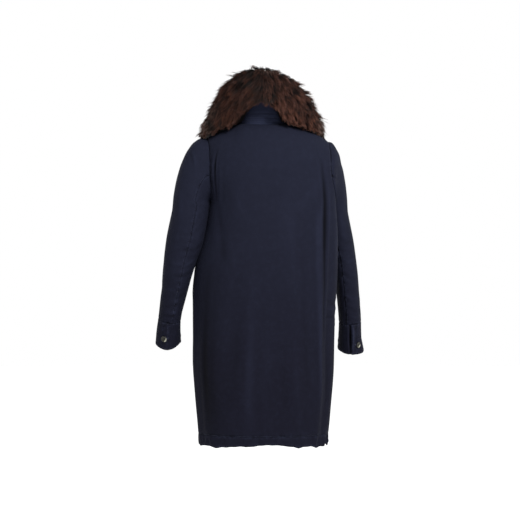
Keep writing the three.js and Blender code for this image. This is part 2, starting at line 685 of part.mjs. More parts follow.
const CUFF_ROWS = 4;
for (const side of ["left", "right"]) {
  const { lap, underlap, buttonAngle, buttonZ } = CUFF[side];
  const bottomZ = SLEEVE[side][SLEEVE[side].length - 1].z;
  const topZ = CUFF_TOP_Z[side] - SLEEVE_BOTTOM_GAP;
  const lapRise = (angle) => {
    const past = THREE.MathUtils.smoothstep(angle - lap, 0, CUFF_LAP_SPAN);
    return CUFF_LAP_RISE * (1 - past);
  };
  const grid = [];
  for (let r = 0; r <= CUFF_ROWS; r += 1) {
    const z = THREE.MathUtils.lerp(bottomZ, topZ, r / CUFF_ROWS);
    const row = [];
    for (let c = 0; c <= CUFF_COLUMNS; c += 1) {
      const angle = lap + ((360 + underlap) * c) / CUFF_COLUMNS;
      row.push(sleevePoint(side, angle, z, lapRise(angle)));
    }
    grid.push(row);
  }
  addMesh(`cuff_${side}`, clothWall(grid), navyCloth);
  const seatPoint = sleevePoint(side, buttonAngle, buttonZ, lapRise(buttonAngle));
  const along = sleevePoint(side, buttonAngle + 4, buttonZ, lapRise(buttonAngle + 4)).sub(seatPoint);
  const up = sleevePoint(side, buttonAngle, buttonZ + 4, lapRise(buttonAngle)).sub(seatPoint);
  const outward = along.cross(up).normalize();
  const centre = sleeveRow(side, buttonZ).centre;
  if (outward.dot(seatPoint.clone().sub(centre)) < 0) outward.negate();
  seatPoint.addScaledVector(outward, WALL / 2 + SEAM_GAP);
  addButton(`cuff_button_${side}`, CUFF_BUTTON_RADIUS, seatPoint, outward);
}

FRONT_BUTTON_LEVELS.forEach((z, i) => {
  const point = bodyPoint(FRONT_BUTTON_ANGLE, z);
  const across = bodyPoint(FRONT_BUTTON_ANGLE + 3, z).sub(bodyPoint(FRONT_BUTTON_ANGLE - 3, z));
  const up = bodyPoint(FRONT_BUTTON_ANGLE, z + 10).sub(bodyPoint(FRONT_BUTTON_ANGLE, z - 10));
  const outward = across.cross(up).normalize();
  point.addScaledVector(outward, WALL / 2 + SEAM_GAP + EDGE_MARGIN);
  addButton(`front_button_${i + 1}`, FRONT_BUTTON_RADIUS, point, outward);
});

// Fur collar in two halves, solid out to the tips of the hair, resting on the cloth

function heightInTriangle(a, b, c, x, y) {
  const area = (b.x - a.x) * (c.y - a.y) - (c.x - a.x) * (b.y - a.y);
  if (Math.abs(area) < 1e-9) return null;
  const v = ((x - a.x) * (c.y - a.y) - (c.x - a.x) * (y - a.y)) / area;
  const w = ((b.x - a.x) * (y - a.y) - (x - a.x) * (b.y - a.y)) / area;
  if (v < 0 || w < 0 || v + w > 1) return null;
  return a.z + v * (b.z - a.z) + w * (c.z - a.z);
}

// The highest cloth of the shoulders and sleeve heads over a point of the plan
const shoulderGrids = [
  backGrid.slice(UNDERARM_LEVEL),
  rightFrontGrid.slice(UNDERARM_LEVEL),
  leftFrontPlain.slice(UNDERARM_LEVEL),
  sleeveGrids.left.slice(0, HEAD_STEPS + 1),
  sleeveGrids.right.slice(0, HEAD_STEPS + 1),
];
function clothHeight(x, y) {
  let highest = -Infinity;
  for (const grid of shoulderGrids) {
    for (let r = 0; r < grid.length - 1; r += 1) {
      for (let c = 0; c < grid[0].length - 1; c += 1) {
        const [a, b, d, e] = [grid[r][c], grid[r][c + 1], grid[r + 1][c + 1], grid[r + 1][c]];
        const z = heightInTriangle(a, b, d, x, y) ?? heightInTriangle(a, d, e, x, y);
        if (z !== null && z > highest) highest = z;
      }
    }
  }
  return highest;
}

function furSection(side, angle) {
  const sign = side === "left" ? -1 : 1;
  const size = (name) => between(FUR[side], "angle", name, angle);
  const reach = size("reach");
  const low = size("low");
  const top = size("top");
  const crest = size("crest");
  const base = neckPoint(sign * angle);
  const outward = new THREE.Vector3(base.x, base.y, 0).normalize();
  const at = (out, z) => new THREE.Vector3(base.x + outward.x * out, base.y + outward.y * out, z);
  const seated = (out, least) => {
    const point = at(out, 0);
    const sideways = new THREE.Vector3(-outward.y, outward.x, 0).multiplyScalar(FUR_SEAT_SPREAD);
    const levels = [-1, 0, 1].map((k) => clothHeight(point.x + k * sideways.x, point.y + k * sideways.y));
    const cloth = Math.max(...levels, base.z - reach);
    point.z = Math.max(cloth + WALL / 2 + FUR_SEAT, least);
    return point;
  };
  const section = [
    seated(STAND_CLEARANCE, Math.max(base.z + WALL / 2 + FUR_SEAT, low)),
    at(FUR_INNER_LEAN, top - FUR_INNER_DROP),
  ];
  for (let i = 0; i <= FUR_FALL_STEPS; i += 1) {
    const t = (Math.PI / 2) * (i / FUR_FALL_STEPS);
    const out = crest + (reach - crest) * Math.sin(t) ** FUR_SLOPE_POWER;
    section.push(at(out, low + (top - low) * Math.cos(t) ** FUR_SLOPE_POWER));
  }
  for (const share of FUR_UNDERSIDE) {
    section.push(seated(share * (reach - FUR_LIP), low - FUR_LIP_DROP * Math.min(1, angle / FUR_V_ANGLE)));
  }
  return section;
}

for (const side of ["left", "right"]) {
  const sign = side === "left" ? -1 : 1;
  const last = FUR[side][FUR[side].length - 1].angle;
  const sections = [];
  for (let i = 0; i <= FUR_STEPS; i += 1) {
    sections.push(furSection(side, (last * i) / FUR_STEPS));
  }
  const count = sections[0].length;
  for (const point of sections[0]) point.x = (sign * SEAM_GAP) / 2;
  const points = sections.flat();
  const triangles = [];
  for (let i = 0; i < FUR_STEPS; i += 1) {
    for (let k = 0; k < count; k += 1) {
      const a = i * count + k;
      const b = i * count + ((k + 1) % count);
      triangles.push([a, b, b + count], [a, b + count, a + count]);
    }
  }
  for (const [start, forward] of [[0, false], [FUR_STEPS * count, true]]) {
    const middle = new THREE.Vector3();
    for (let k = 0; k < count; k += 1) middle.addScaledVector(points[start + k], 1 / count);
    const hub = points.push(middle) - 1;
    for (let k = 0; k < count; k += 1) {
      const a = start + k;
      const b = start + ((k + 1) % count);
      triangles.push(forward ? [hub, a, b] : [hub, b, a]);
    }
  }
  addMesh(`fur_${side}`, closedGeometry(points, triangles), brownFur);
}

export default parka;
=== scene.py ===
# %% [markdown]
# This notebook dresses a knee-length cotton parka with a fur collar. The coat is hollow
# and filled out, as when it is worn, and is seen from behind. The imported CAD model holds
# every panel, sleeve, cuff and button in its true place. It is loaded first, because all
# that follows is built on it, and its box is measured.

import math

import bmesh
import bpy
import numpy as np
from mathutils import Matrix, Vector
from mathutils.bvhtree import BVHTree
from mathutils.kdtree import KDTree


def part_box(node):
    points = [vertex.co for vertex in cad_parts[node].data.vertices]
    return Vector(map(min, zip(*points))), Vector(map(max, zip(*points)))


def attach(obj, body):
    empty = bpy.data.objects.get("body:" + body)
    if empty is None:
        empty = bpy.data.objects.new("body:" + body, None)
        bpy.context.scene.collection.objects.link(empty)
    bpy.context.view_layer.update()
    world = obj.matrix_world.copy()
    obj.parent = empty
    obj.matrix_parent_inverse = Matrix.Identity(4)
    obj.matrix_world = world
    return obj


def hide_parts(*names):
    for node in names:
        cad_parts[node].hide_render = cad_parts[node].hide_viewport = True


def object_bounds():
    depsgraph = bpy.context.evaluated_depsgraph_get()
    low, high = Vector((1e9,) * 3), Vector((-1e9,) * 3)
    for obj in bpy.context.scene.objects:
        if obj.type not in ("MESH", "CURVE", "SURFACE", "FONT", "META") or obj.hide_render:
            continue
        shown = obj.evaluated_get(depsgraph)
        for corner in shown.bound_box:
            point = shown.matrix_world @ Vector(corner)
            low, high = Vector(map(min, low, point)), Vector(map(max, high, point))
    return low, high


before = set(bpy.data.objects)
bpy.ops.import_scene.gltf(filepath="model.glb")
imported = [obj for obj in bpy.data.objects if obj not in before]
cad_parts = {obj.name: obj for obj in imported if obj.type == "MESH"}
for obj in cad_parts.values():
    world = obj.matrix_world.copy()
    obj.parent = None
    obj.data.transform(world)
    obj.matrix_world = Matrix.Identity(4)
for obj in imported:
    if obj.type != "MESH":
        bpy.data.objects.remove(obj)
cad_low, cad_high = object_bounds()
MM = 0.001
print("CAD box in mm:", [round(v / MM) for v in cad_high - cad_low])

# %% [markdown]
# Four small helpers serve the cells below. Blender hands long lists of numbers over
# fastest as flat arrays, so one helper reads them into NumPy. One gives the soft hump
# that folds and seams are made of, and one a search tree of a mesh's faces. The last
# makes a finished mesh a piece of the coat that stands for a CAD node.


# %% Small helpers
def read(items, name, width=1, kind=float):
    """One property of all items of a mesh, as an array with a row for each."""
    values = np.zeros(len(items) * width, kind)
    items.foreach_get(name, values)
    return values.reshape(-1, width) if width > 1 else values


def bell(value, width):
    """1 at 0, fading softly to 0 past this width."""
    return np.exp(-((value / width) ** 2))


def tree_of(mesh):
    """A tree that finds where a ray meets a mesh."""
    return BVHTree.FromPolygons([v.co for v in mesh.vertices], [p.vertices for p in mesh.polygons])


def add_piece(name, mesh, stands_for):
    """Makes a finished mesh a piece of the coat that replaces a CAD node."""
    piece = bpy.data.objects.new(name, mesh)
    bpy.context.collection.objects.link(piece)
    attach(piece, "root")
    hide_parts(stands_for)
    return piece


print("CAD nodes:", len(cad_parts))

# %% [markdown]
# The camera looks level at the back of the coat from far away, as a long lens does, so
# that the sleeves and the body keep their true proportions. A picture pixel is 3 mm at
# the middle of the coat. The neck seam is the origin, so the middle of the picture lies
# a known number of pixels below it.

# %% Camera
PICTURE_PIXELS = 520
PIXEL = 3.0 * MM
NECK_PIXEL = (263.5, 126.0)
CAMERA_DISTANCE = 6.0
SENSOR_WIDTH = 36.0

camera_data = bpy.data.cameras.new("camera")
camera = bpy.data.objects.new("camera", camera_data)
bpy.context.collection.objects.link(camera)
picture_width = PICTURE_PIXELS * PIXEL
camera_data.sensor_width = SENSOR_WIDTH
camera_data.lens = SENSOR_WIDTH * CAMERA_DISTANCE / picture_width
camera.location = (
    (PICTURE_PIXELS / 2 - NECK_PIXEL[0]) * PIXEL,
    -CAMERA_DISTANCE,
    (NECK_PIXEL[1] - PICTURE_PIXELS / 2) * PIXEL,
)
camera.rotation_euler = (math.radians(90), 0, 0)
bpy.context.scene.camera = camera
print("lens in mm:", round(camera_data.lens, 1))

# %% [markdown]
# The studio is a bright, even room. A white world lights every side of the coat alike,
# and one large lamp high behind the camera makes the shoulders a little lighter than
# the hem. The standard view keeps white paper white and navy cloth navy.

# %% Studio
scene = bpy.context.scene
scene.view_settings.view_transform = "Standard"
world = bpy.data.worlds.new("studio")
scene.world = world
world.use_nodes = True
sky = world.node_tree.nodes["Background"].inputs
sky["Color"].default_value = (1, 1, 1, 1)
sky["Strength"].default_value = 1.0


def add_lamp(name, place, target, size, power):
    """A large soft lamp that shines from a place to a target."""
    data = bpy.data.lights.new(name, "AREA")
    data.shape = "DISK"
    data.size = size
    data.energy = power
    lamp = bpy.data.objects.new(name, data)
    lamp.location = place
    lamp.rotation_euler = (Vector(target) - Vector(place)).to_track_quat("-Z", "Y").to_euler()
    bpy.context.collection.objects.link(lamp)


add_lamp("high_lamp", (1.5, -3.0, 2.3), (0, 0, -0.15), 1.4, 300)
add_lamp("front_lamp", (-1.5, 3.6, 1.8), (0, 0, -0.3), 2.0, 60)

# %% [markdown]
# The floor lies where the feet of a wearer would stand, well below the picture. It is a
# wide pale disc that isn't part of the coat.

# %% Floor
FLOOR_DROP = 500 * MM
FLOOR_RADIUS = 14.0

floor_mesh = bmesh.new()
bmesh.ops.create_circle(
    floor_mesh, cap_ends=True, segments=96, radius=FLOOR_RADIUS,
    matrix=Matrix.Translation((0, 0, cad_low.z - FLOOR_DROP)),
)
floor_data = bpy.data.meshes.new("floor")
floor_mesh.to_mesh(floor_data)
floor_mesh.free()
floor = bpy.data.objects.new("floor", floor_data)
bpy.context.collection.objects.link(floor)
paper = bpy.data.materials.new("white_paper")
paper.use_nodes = True
paper_surface = paper.node_tree.nodes["Principled BSDF"].inputs
paper_surface["Base Color"].default_value = (0.95, 0.95, 0.95, 1)
paper_surface["Roughness"].default_value = 0.9
paper_surface["Emission Color"].default_value = (1, 1, 1, 1)
paper_surface["Emission Strength"].default_value = 0.14
floor_data.materials.append(paper)

# %% [markdown]
# Materials are drawn with shader nodes. Written as sums, they are easier to read than
# as boxes and wires, so one small class wraps an output socket: a sum of two of them
# adds a Math node, and the node method adds any other kind. Where a node has two sockets
# of one name, a 1 or 2 after the name tells them apart.


# %% Shader sums
def linear(code):
    """A colour written as six hex digits, in the linear values that shaders use."""
    parts = [int(code[i:i + 2], 16) / 255 for i in (0, 2, 4)]
    return (*[p / 12.92 if p < 0.04045 else ((p + 0.055) / 1.055) ** 2.4 for p in parts], 1)


class Wire:
    """A material's node tree, or one output socket in it that can be used in sums."""

    def __init__(self, tree, socket=None):
        self.tree, self.socket = tree, socket

    def node(self, kind, settings=None, output=0, **values):
        made = self.tree.nodes.new("ShaderNode" + kind)
        for key, value in (settings or {}).items():
            if key == "stops":
                ramp = made.color_ramp
                while len(ramp.elements) < len(value):
                    ramp.elements.new(0.5)
                for element, (place, colour) in zip(ramp.elements, value):
                    element.position, element.color = place, linear(colour)
            else:
                setattr(made, key, value)
        for key, value in values.items():
            name = key.rstrip("12").replace("_", " ")
            sockets = [s for s in made.inputs if s.name == name and s.enabled]
            socket = sockets[1 if key.endswith("2") else 0]
            if isinstance(value, Wire):
                self.tree.links.new(value.socket, socket)
            else:
                socket.default_value = linear(value) if isinstance(value, str) else value
        if not made.outputs:
            return None
        if isinstance(output, str):
            return Wire(self.tree, made.outputs[output])
        return Wire(self.tree, [s for s in made.outputs if s.enabled][output])

    def maths(self, operation, *parts):
        made = self.tree.nodes.new("ShaderNodeMath")
        made.operation = operation
        for socket, part in zip(made.inputs, parts):
            if isinstance(part, Wire):
                self.tree.links.new(part.socket, socket)
            else:
                socket.default_value = part
        return Wire(self.tree, made.outputs[0])

    def mix(self, factor, one, other):
        return self.node("Mix", {"data_type": "RGBA"}, Factor=factor, A=one, B=other)

    def __add__(self, other):
        return self.maths("ADD", self, other)

    def __sub__(self, other):
        return self.maths("SUBTRACT", self, other)

    def __rsub__(self, other):
        return self.maths("SUBTRACT", other, self)

    def __mul__(self, other):
        return self.maths("MULTIPLY", self, other)

    __radd__, __rmul__ = __add__, __mul__

    def rise(self, low, high):
        """0 below low and 1 above high, with a smooth rise."""
        return self.node(
            "MapRange", {"interpolation_type": "SMOOTHSTEP"}, Value=self, From_Min=low, From_Max=high)


def start_material(name):
    """A new material, with the wire that its nodes grow from."""
    material = bpy.data.materials.new(name)
    material.use_nodes = True
    material.node_tree.nodes.clear()
    return material, Wire(material.node_tree)


def finish_material(net, **values):
    """Adds the surface shader with these socket values, and the output."""
    net.node("OutputMaterial", Surface=net.node("BsdfPrincipled", **values))


# %% [markdown]
# The cloth is a washed cotton twill in dark navy. Up close it has fine slanting ribs.
# Further off it shows soft clouds where the dye has worn, and paler seams and edges,
# where the cloth is thick and rubs first. It is painted darker towards the hem and lighter
# towards the shoulders, as painted light from above. Fold ridges are painted pale as
# painted light, and troughs near black as painted shade. The ribs follow the cloth through
# its own map of lengths and the clouds follow the object. One attribute says how near an
# edge is, and another holds the painted light and shade of folds, seams and zones.

# %% Cotton twill
RIB_SCALE = 330
CLOUD_SCALE = 9
SLUB_SCALE = 70


def cotton(name, deep, plain, faded_and_lit, roughness):
    """Navy cotton twill, painted from a deep shade at the hem to a plain one at the shoulders, and towards a
    faded and lit one on worn edges and ridges.
    """
    material, net = start_material(name)
    place = net.node("TexCoord", output="Object")
    lengths = net.node("UVMap", {"uv_map": "lengths"})
    edge = net.node("Attribute", {"attribute_name": "edge"}, output="Fac")
    crease = net.node("Attribute", {"attribute_name": "crease"}, output="Fac")
    clouds = net.node("TexNoise", Vector=place, Scale=CLOUD_SCALE, Detail=4.0, Roughness=0.6)
    slubs = net.node("TexNoise", Vector=place, Scale=SLUB_SCALE, Detail=5.0, Roughness=0.7)
    ribs = net.node(
        "TexWave", {"wave_type": "BANDS", "bands_direction": "DIAGONAL", "wave_profile": "SIN"},
        output="Fac", Vector=lengths, Scale=RIB_SCALE, Distortion=1.2, Detail=1.0)
    grain = net.node("TexNoise", Vector=lengths, Scale=900, Detail=2.0)
    # Painted light from above: the colour runs from the deep shade low down to the plain one at the
    # shoulders.
    painted_top_light = net.node("SeparateXYZ", output="Z", Vector=place).rise(-0.9, 0.0)
    worn = edge * slubs.rise(0.35, 0.7)
    shade = net.mix(clouds.rise(0.2, 0.8) * 0.16 + painted_top_light * 0.84, deep, plain)
    shade = net.mix(slubs.rise(0.42, 0.75) * 0.07, shade, faded_and_lit)
    shade = net.mix(worn * 0.4, shade, faded_and_lit)
    shade = net.mix(ribs * 0.16, shade, deep)
    # Painted shade and painted light: troughs, seams and dark zones go near black, and ridges and light zones
    # go pale.
    shade = net.mix((crease * -1).rise(0.0, 1.0) * 0.85, shade, "030305")
    shade = net.mix(crease.rise(0.0, 1.0) * 0.6, shade, faded_and_lit)
    height = ribs * 0.5 + grain * 0.35 + slubs * 0.9
    bump = net.node("Bump", Height=height, Strength=0.55, Distance=0.5 * MM)
    finish_material(
        net, Base_Color=shade, Roughness=roughness - slubs * 0.08, Normal=bump,
        Sheen_Weight=0.02, Sheen_Roughness=0.4, Sheen_Tint=linear("8e94b4"), Specular_IOR_Level=0.04)
    return material


# The deep shade is painted shade at the hem, and the plain one is the colour at the shoulders.
navy_cotton = cotton("navy_cotton", "0c0c15", "131520", "262a3c", 0.9)
navy_lining = cotton("navy_lining", "0b0b11", "101218", "1a1c26", 0.75)
print("cotton nodes:", len(navy_cotton.node_tree.nodes))

# %% [markdown]
# Every cloth piece begins as the outer face of its CAD wall. The wall is a closed solid,
# so its rim is where the surface turns sharply. Walking from face to face without
# crossing such a turn leaves islands, and the largest of them is the outer face. Its
# triangles are joined to squares, since those bend smoothly when they are subdivided.
# Faces wait in a dictionary, which keeps their order, so every run gives the same mesh.

# %% Outer face of a wall
RIM_TURN = math.radians(58)


def islands(mesh, turn):
    """The faces of a mesh in groups that meet at less than this angle."""
    left, found = dict.fromkeys(mesh.faces), []
    while left:
        start, _ = left.popitem()
        group, edge_of_group = [start], [start]
        while edge_of_group:
            face = edge_of_group.pop()
            for edge in face.edges:
                for other in edge.link_faces:
                    if other in left and edge.calc_face_angle(0) < turn:
                        del left[other]
                        group.append(other)
                        edge_of_group.append(other)
        found.append(group)
    return sorted(found, key=lambda group: -sum(f.calc_area() for f in group))


def outer_face(node):
    """The outer face of a CAD wall as a mesh of squares, with its area."""
    skin = bmesh.new()
    skin.from_mesh(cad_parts[node].data)
    bmesh.ops.remove_doubles(skin, verts=skin.verts, dist=0.02 * MM)
    groups = islands(skin, RIM_TURN)
    rest = [face for group in groups[1:] for face in group]
    bmesh.ops.delete(skin, geom=rest, context="FACES")
    bmesh.ops.join_triangles(
        skin, faces=skin.faces,
        angle_face_threshold=math.radians(70), angle_shape_threshold=math.radians(120))
    return skin, sum(face.calc_area() for face in skin.faces)


# %% [markdown]
# The CAD squares are long in one direction, because a panel bends little along its
# length. Creases need more rows there, so those edges are cut once before the smooth
# subdivision. Opposite edges of a square run the same way, and this is passed on from
# face to face, until every edge belongs to one of the two directions.


# %% Extra rows
def long_edges(skin):
    """The edges of a mesh of squares that run in its longer direction."""
    way = {}
    for first in skin.faces:
        if len(first.edges) != 4 or first.edges[0] in way:
            continue
        way[first.edges[0]] = 0
        queue = [first]
        seen = {first}
        while queue:
            face = queue.pop()
            edges = list(face.edges)
            known = [i for i, edge in enumerate(edges) if edge in way]
            for i in range(4):
                way.setdefault(edges[i], (way[edges[known[0]]] + i - known[0]) % 2)
            for edge in edges:
                for other in edge.link_faces:
                    if len(other.edges) == 4 and other not in seen:
                        seen.add(other)
                        queue.append(other)
    mean = [np.mean([e.calc_length() for e in way if way[e] == k] or [0]) for k in (0, 1)]
    return [edge for edge in way if way[edge] == int(mean[1] > mean[0])]


def smooth_mesh(skin, name, levels, rows):
    """The mesh with extra rows, subdivided smoothly, its corners kept."""
    if rows:
        bmesh.ops.subdivide_edges(skin, edges=long_edges(skin), cuts=rows, use_grid_fill=True)
    data = bpy.data.meshes.new(name)
    skin.to_mesh(data)
    helper = bpy.data.objects.new(name + "_helper", data)
    bpy.context.collection.objects.link(helper)
    subdivision = helper.modifiers.new("smooth", "SUBSURF")
    subdivision.levels = subdivision.render_levels = levels
    subdivision.boundary_smooth = "PRESERVE_CORNERS"
    evaluated = helper.evaluated_get(bpy.context.evaluated_depsgraph_get())
    result = bpy.data.meshes.new_from_object(evaluated)
    bpy.data.objects.remove(helper)
    bpy.data.meshes.remove(data)
    result.name = name
    return result


# %% [markdown]
# Folds are listed on a flat map of each piece: across is the distance round the
# body or the arm, and up is the height. The middle line of an arm is measured from its
# CAD sleeve, level by level. Where a fold runs is written as angles in degrees and heights
# in millimetres, and the map turns the angles into distances.

# %% Maps of body and arms
BODY_RADIUS = 190 * MM
ARM_RADIUS = 46 * MM


def arm_line(side):
    """Heights from low to high, and the middle of the arm at each, from the CAD sleeve."""
    names = [f"sleeve_{side}_upper", f"sleeve_{side}_under", f"cuff_{side}"]
    points = np.array([v.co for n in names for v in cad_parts[n].data.vertices], float)
    levels = np.arange(-0.66, -0.27, 0.02)
    middles = []
    for level in levels:
        near = points[np.abs(points[:, 2] - level) < 0.024]
        middles.append((near[:, :2].min(0) + near[:, :2].max(0)) / 2)
    return levels, np.array(middles)


ARM_LINES = {side: arm_line(side) for side in ("left", "right")}


def body_map(points):
    """Angle round the body from centre back, positive to the wearer's right, and height."""
    return np.degrees(np.arctan2(points[:, 0], -points[:, 1])), points[:, 2], BODY_RADIUS


def arm_map(side):
    """A map round one arm: 0 on its outer side, 90 in front, 180 inside, 270 at the back."""
    levels, middles = ARM_LINES[side]
    sign = -1 if side == "left" else 1

    def to_map(points):
        middle = [np.interp(points[:, 2], levels, middles[:, k]) for k in (0, 1)]
        outward, forward = sign * (points[:, 0] - middle[0]), points[:, 1] - middle[1]
        return np.degrees(np.arctan2(forward, outward)) % 360, points[:, 2], ARM_RADIUS
    return to_map


print("arm middles in mm:", {s: (ARM_LINES[s][1][[0, -1]] / MM).round().tolist() for s in ARM_LINES})

# %% [markdown]
# A fold is a soft trough or ridge along a short path of points, each an angle and a
# height in millimetres, with a width and a depth. It fades out at both ends, and cloth
# is pushed up a little on both sides of a trough, as it is when real cloth is creased.


# %% Fold shapes
def fold_height(to_map, points, folds):
    """How far the folds push each point along its normal, in metres."""
    angle, height, radius = to_map(points)
    total = np.zeros(len(points))
    for turn in (-360, 0, 360):
        flat = np.stack([np.radians(angle + turn) * radius, height], 1)
        for path, width, depth in folds:
            marks = np.array([[math.radians(a) * radius, z * MM] for a, z in path])
            steps = np.linalg.norm(np.diff(marks, axis=0), axis=1)
            nearest, along, run = np.full(len(flat), 9.0), np.zeros(len(flat)), 0.0
            for start, end, step in zip(marks, marks[1:], steps):
                share = np.clip((flat - start) @ (end - start) / step**2, 0, 1)
                away = np.linalg.norm(flat - start - share[:, None] * (end - start), axis=1)
                closer = away < nearest
                nearest = np.where(closer, away, nearest)
                along = np.where(closer, (run + share * step) / steps.sum(), along)
                run += step
            q = nearest / (width * MM)
            uneven = 1 + 0.22 * np.sin(9 * along + width)
            cross = bell(q, 1) - 0.32 * bell(q - 2.1, 0.9)
            total += depth * MM * uneven * np.sin(np.pi * along) ** 0.7 * cross
    return total


def ripple(points, size, seed):
    """Smooth unevenness about this many metres across, from -1 to 1."""
    source = np.random.default_rng(seed)
    total = np.zeros(len(points))
    for _ in range(7):
        direction = source.normal(size=3)
        direction *= 2 * math.pi / (size * source.uniform(0.8, 1.7) * np.linalg.norm(direction))
        total += np.sin(points @ direction + source.uniform(0, 6.28))
    return total / 3.2


# %% [markdown]
# A sewn edge sinks a little, and the thread draws it up into small puckers that run away
# from the seam. Both depend on the nearest point of the edge, which a search tree finds.
# The same distance becomes the attribute that the cotton uses to fade its edges, and a
# band of painted shade along the seams.


# %% Sewn edges
SEAM_LAP = 1.6 * MM
SINK_WIDTH = 2.6 * MM
PUCKER_SEED = 3


def edge_facts(mesh, points):
    """For every point, its distance from the piece's edge and the nearest edge point."""
    uses = np.zeros(len(mesh.edges), int)
    np.add.at(uses, read(mesh.loops, "edge_index", kind=int), 1)
    rim = np.unique(read(mesh.edges, "vertices", 2, int)[uses == 1])
    tree = KDTree(len(rim))
    for index in rim:
        tree.insert(points[index], int(index))
    tree.balance()
    found = [tree.find(point) for point in points]
    return np.array([f[2] for f in found]), points[[f[1] for f in found]]


def seam_lap(mesh, points, distance):
    """Moves a rim outwards in its own surface, so that it meets the next piece under the seam."""
    corners = read(mesh.loops, "vertex_index", kind=int)
    totals = read(mesh.polygons, "loop_total", kind=int)
    centres = np.repeat(read(mesh.polygons, "center", 3), totals, axis=0)
    outward = np.zeros_like(points)
    np.add.at(outward, corners, points[corners] - centres)
    outward[distance > 0.01 * MM] = 0
    return SEAM_LAP * outward / np.maximum(np.linalg.norm(outward, axis=1, keepdims=True), 1e-9)


def sewn_height(distance, nearest, sink, pucker, size, reach):
    """How far a sewn edge sinks and puckers. One seed serves all, so both sides of a seam agree."""
    wave = ripple(nearest, size, PUCKER_SEED)
    return -sink * bell(distance, SINK_WIDTH) + pucker * wave * bell(distance, reach)


print("seam lap in mm:", SEAM_LAP / MM)

# %% [markdown]
# The ribs of the twill follow the cloth's own threads, so every piece carries a map of
# its lengths, round the body or the arm and up it. Numbers at the points of a mesh tell
# its material more: on cloth, where edges are, and the painted light and shade of folds,
# seams and zones.


# %% Map of lengths
def add_lengths(mesh, to_map, points):
    """The cloth's own map: metres round the body or arm, and up it."""
    angle, up, radius = to_map(points)
    corners = read(mesh.loops, "vertex_index", kind=int)
    starts, totals = [read(mesh.polygons, name, kind=int) for name in ("loop_start", "loop_total")]
    first = np.repeat(corners[starts], totals)
    turn = (angle[corners] - angle[first] + 180) % 360 - 180 + angle[first]
    across = np.stack([np.radians(turn) * radius, up[corners]], 1)
    mesh.uv_layers.new(name="lengths").uv.foreach_set("vector", across.ravel())


def add_number(mesh, name, values):
    """A number at each point of a mesh, which its material reads."""
    mesh.attributes.new(name, "FLOAT", "POINT").data.foreach_set("value", values)


# %% [markdown]
# Now the cloth itself. Each piece takes its outer face, is made fine, folded, and given
# its map of lengths, and only then gets its thickness, inwards, so that its outer face
# stays where the CAD says. The cloth inside is a little darker, as a lining is.

# %% Making a cloth piece
CLOTH = 2.0 * MM
SWELL_SIZE = 0.16
SWELL_START = 0.03
WORN_EDGE = 4 * MM
SEAM_SHADE = 3 * MM
skins = {}
flat_areas = {}


def cloth_piece(node, to_map, folds, levels=2, rows=1, sink=1.4, pucker=0.5, pucker_size=24,
                pucker_reach=9, swell=1.0, shape=None, painted_zones=()):
    """One piece of cloth on its CAD wall. Sizes are in millimetres."""
    skin, flat_areas[node] = outer_face(node)
    loose = sum(len(face.verts) == 3 for face in skin.faces)
    mesh = smooth_mesh(skin, node + "_cloth", levels, rows)
    skin.free()
    points, normals = read(mesh.vertices, "co", 3), read(mesh.vertices, "normal", 3)
    distance, nearest = edge_facts(mesh, points)
    folded = fold_height(to_map, points, folds)
    uneven = ripple(points, SWELL_SIZE, sum(map(ord, node)))
    height = folded + swell * MM * uneven * np.minimum(distance / SWELL_START, 1)
    height += sewn_height(distance, nearest, sink * MM, pucker * MM, pucker_size * MM, pucker_reach * MM)
    moved = points + normals * height[:, None] + seam_lap(mesh, points, distance)
    if shape:
        moved += shape(points)
    mesh.vertices.foreach_set("co", moved.ravel())
    add_lengths(mesh, to_map, points)
    add_number(mesh, "edge", bell(distance, WORN_EDGE))
    # Painted shade and light: fold depth, the painted zones and a band along the seams become colour, dark in
    # troughs and light on ridges.
    tone = folded / (6 * MM) + fold_height(to_map, points, painted_zones) / MM
    add_number(mesh, "crease", tone - 0.55 * bell(distance, SEAM_SHADE))
    mesh.shade_smooth()
    skins[node] = mesh.copy()
    mesh.materials.clear()
    mesh.materials.append(navy_cotton)
    mesh.materials.append(navy_lining)
    piece = add_piece(node + "_cloth", mesh, node)
    wall = piece.modifiers.new("cloth", "SOLIDIFY")
    wall.thickness, wall.offset = CLOTH, -1
    wall.material_offset, wall.material_offset_rim = 1, 0
    print(node, "squares", len(mesh.polygons), "odd", loose, "flat area", round(flat_areas[node], 3))


# %% [markdown]
# The body is cut as a back and two fronts. The back hangs smoothly from the shoulder
# blades. One long soft fold runs down on the right, where the cloth swings forward, and
# broad shallow ones on the left. Short drag lines start at the armholes, and small
# puckers lie at the right side seam. The fronts, which are hidden, have folds like these.
# Painted zones are written like folds, but they only paint shade or light into the colour:
# painted shade at the lower left, beside the left armhole and on the right side, and
# painted light on the upper right.

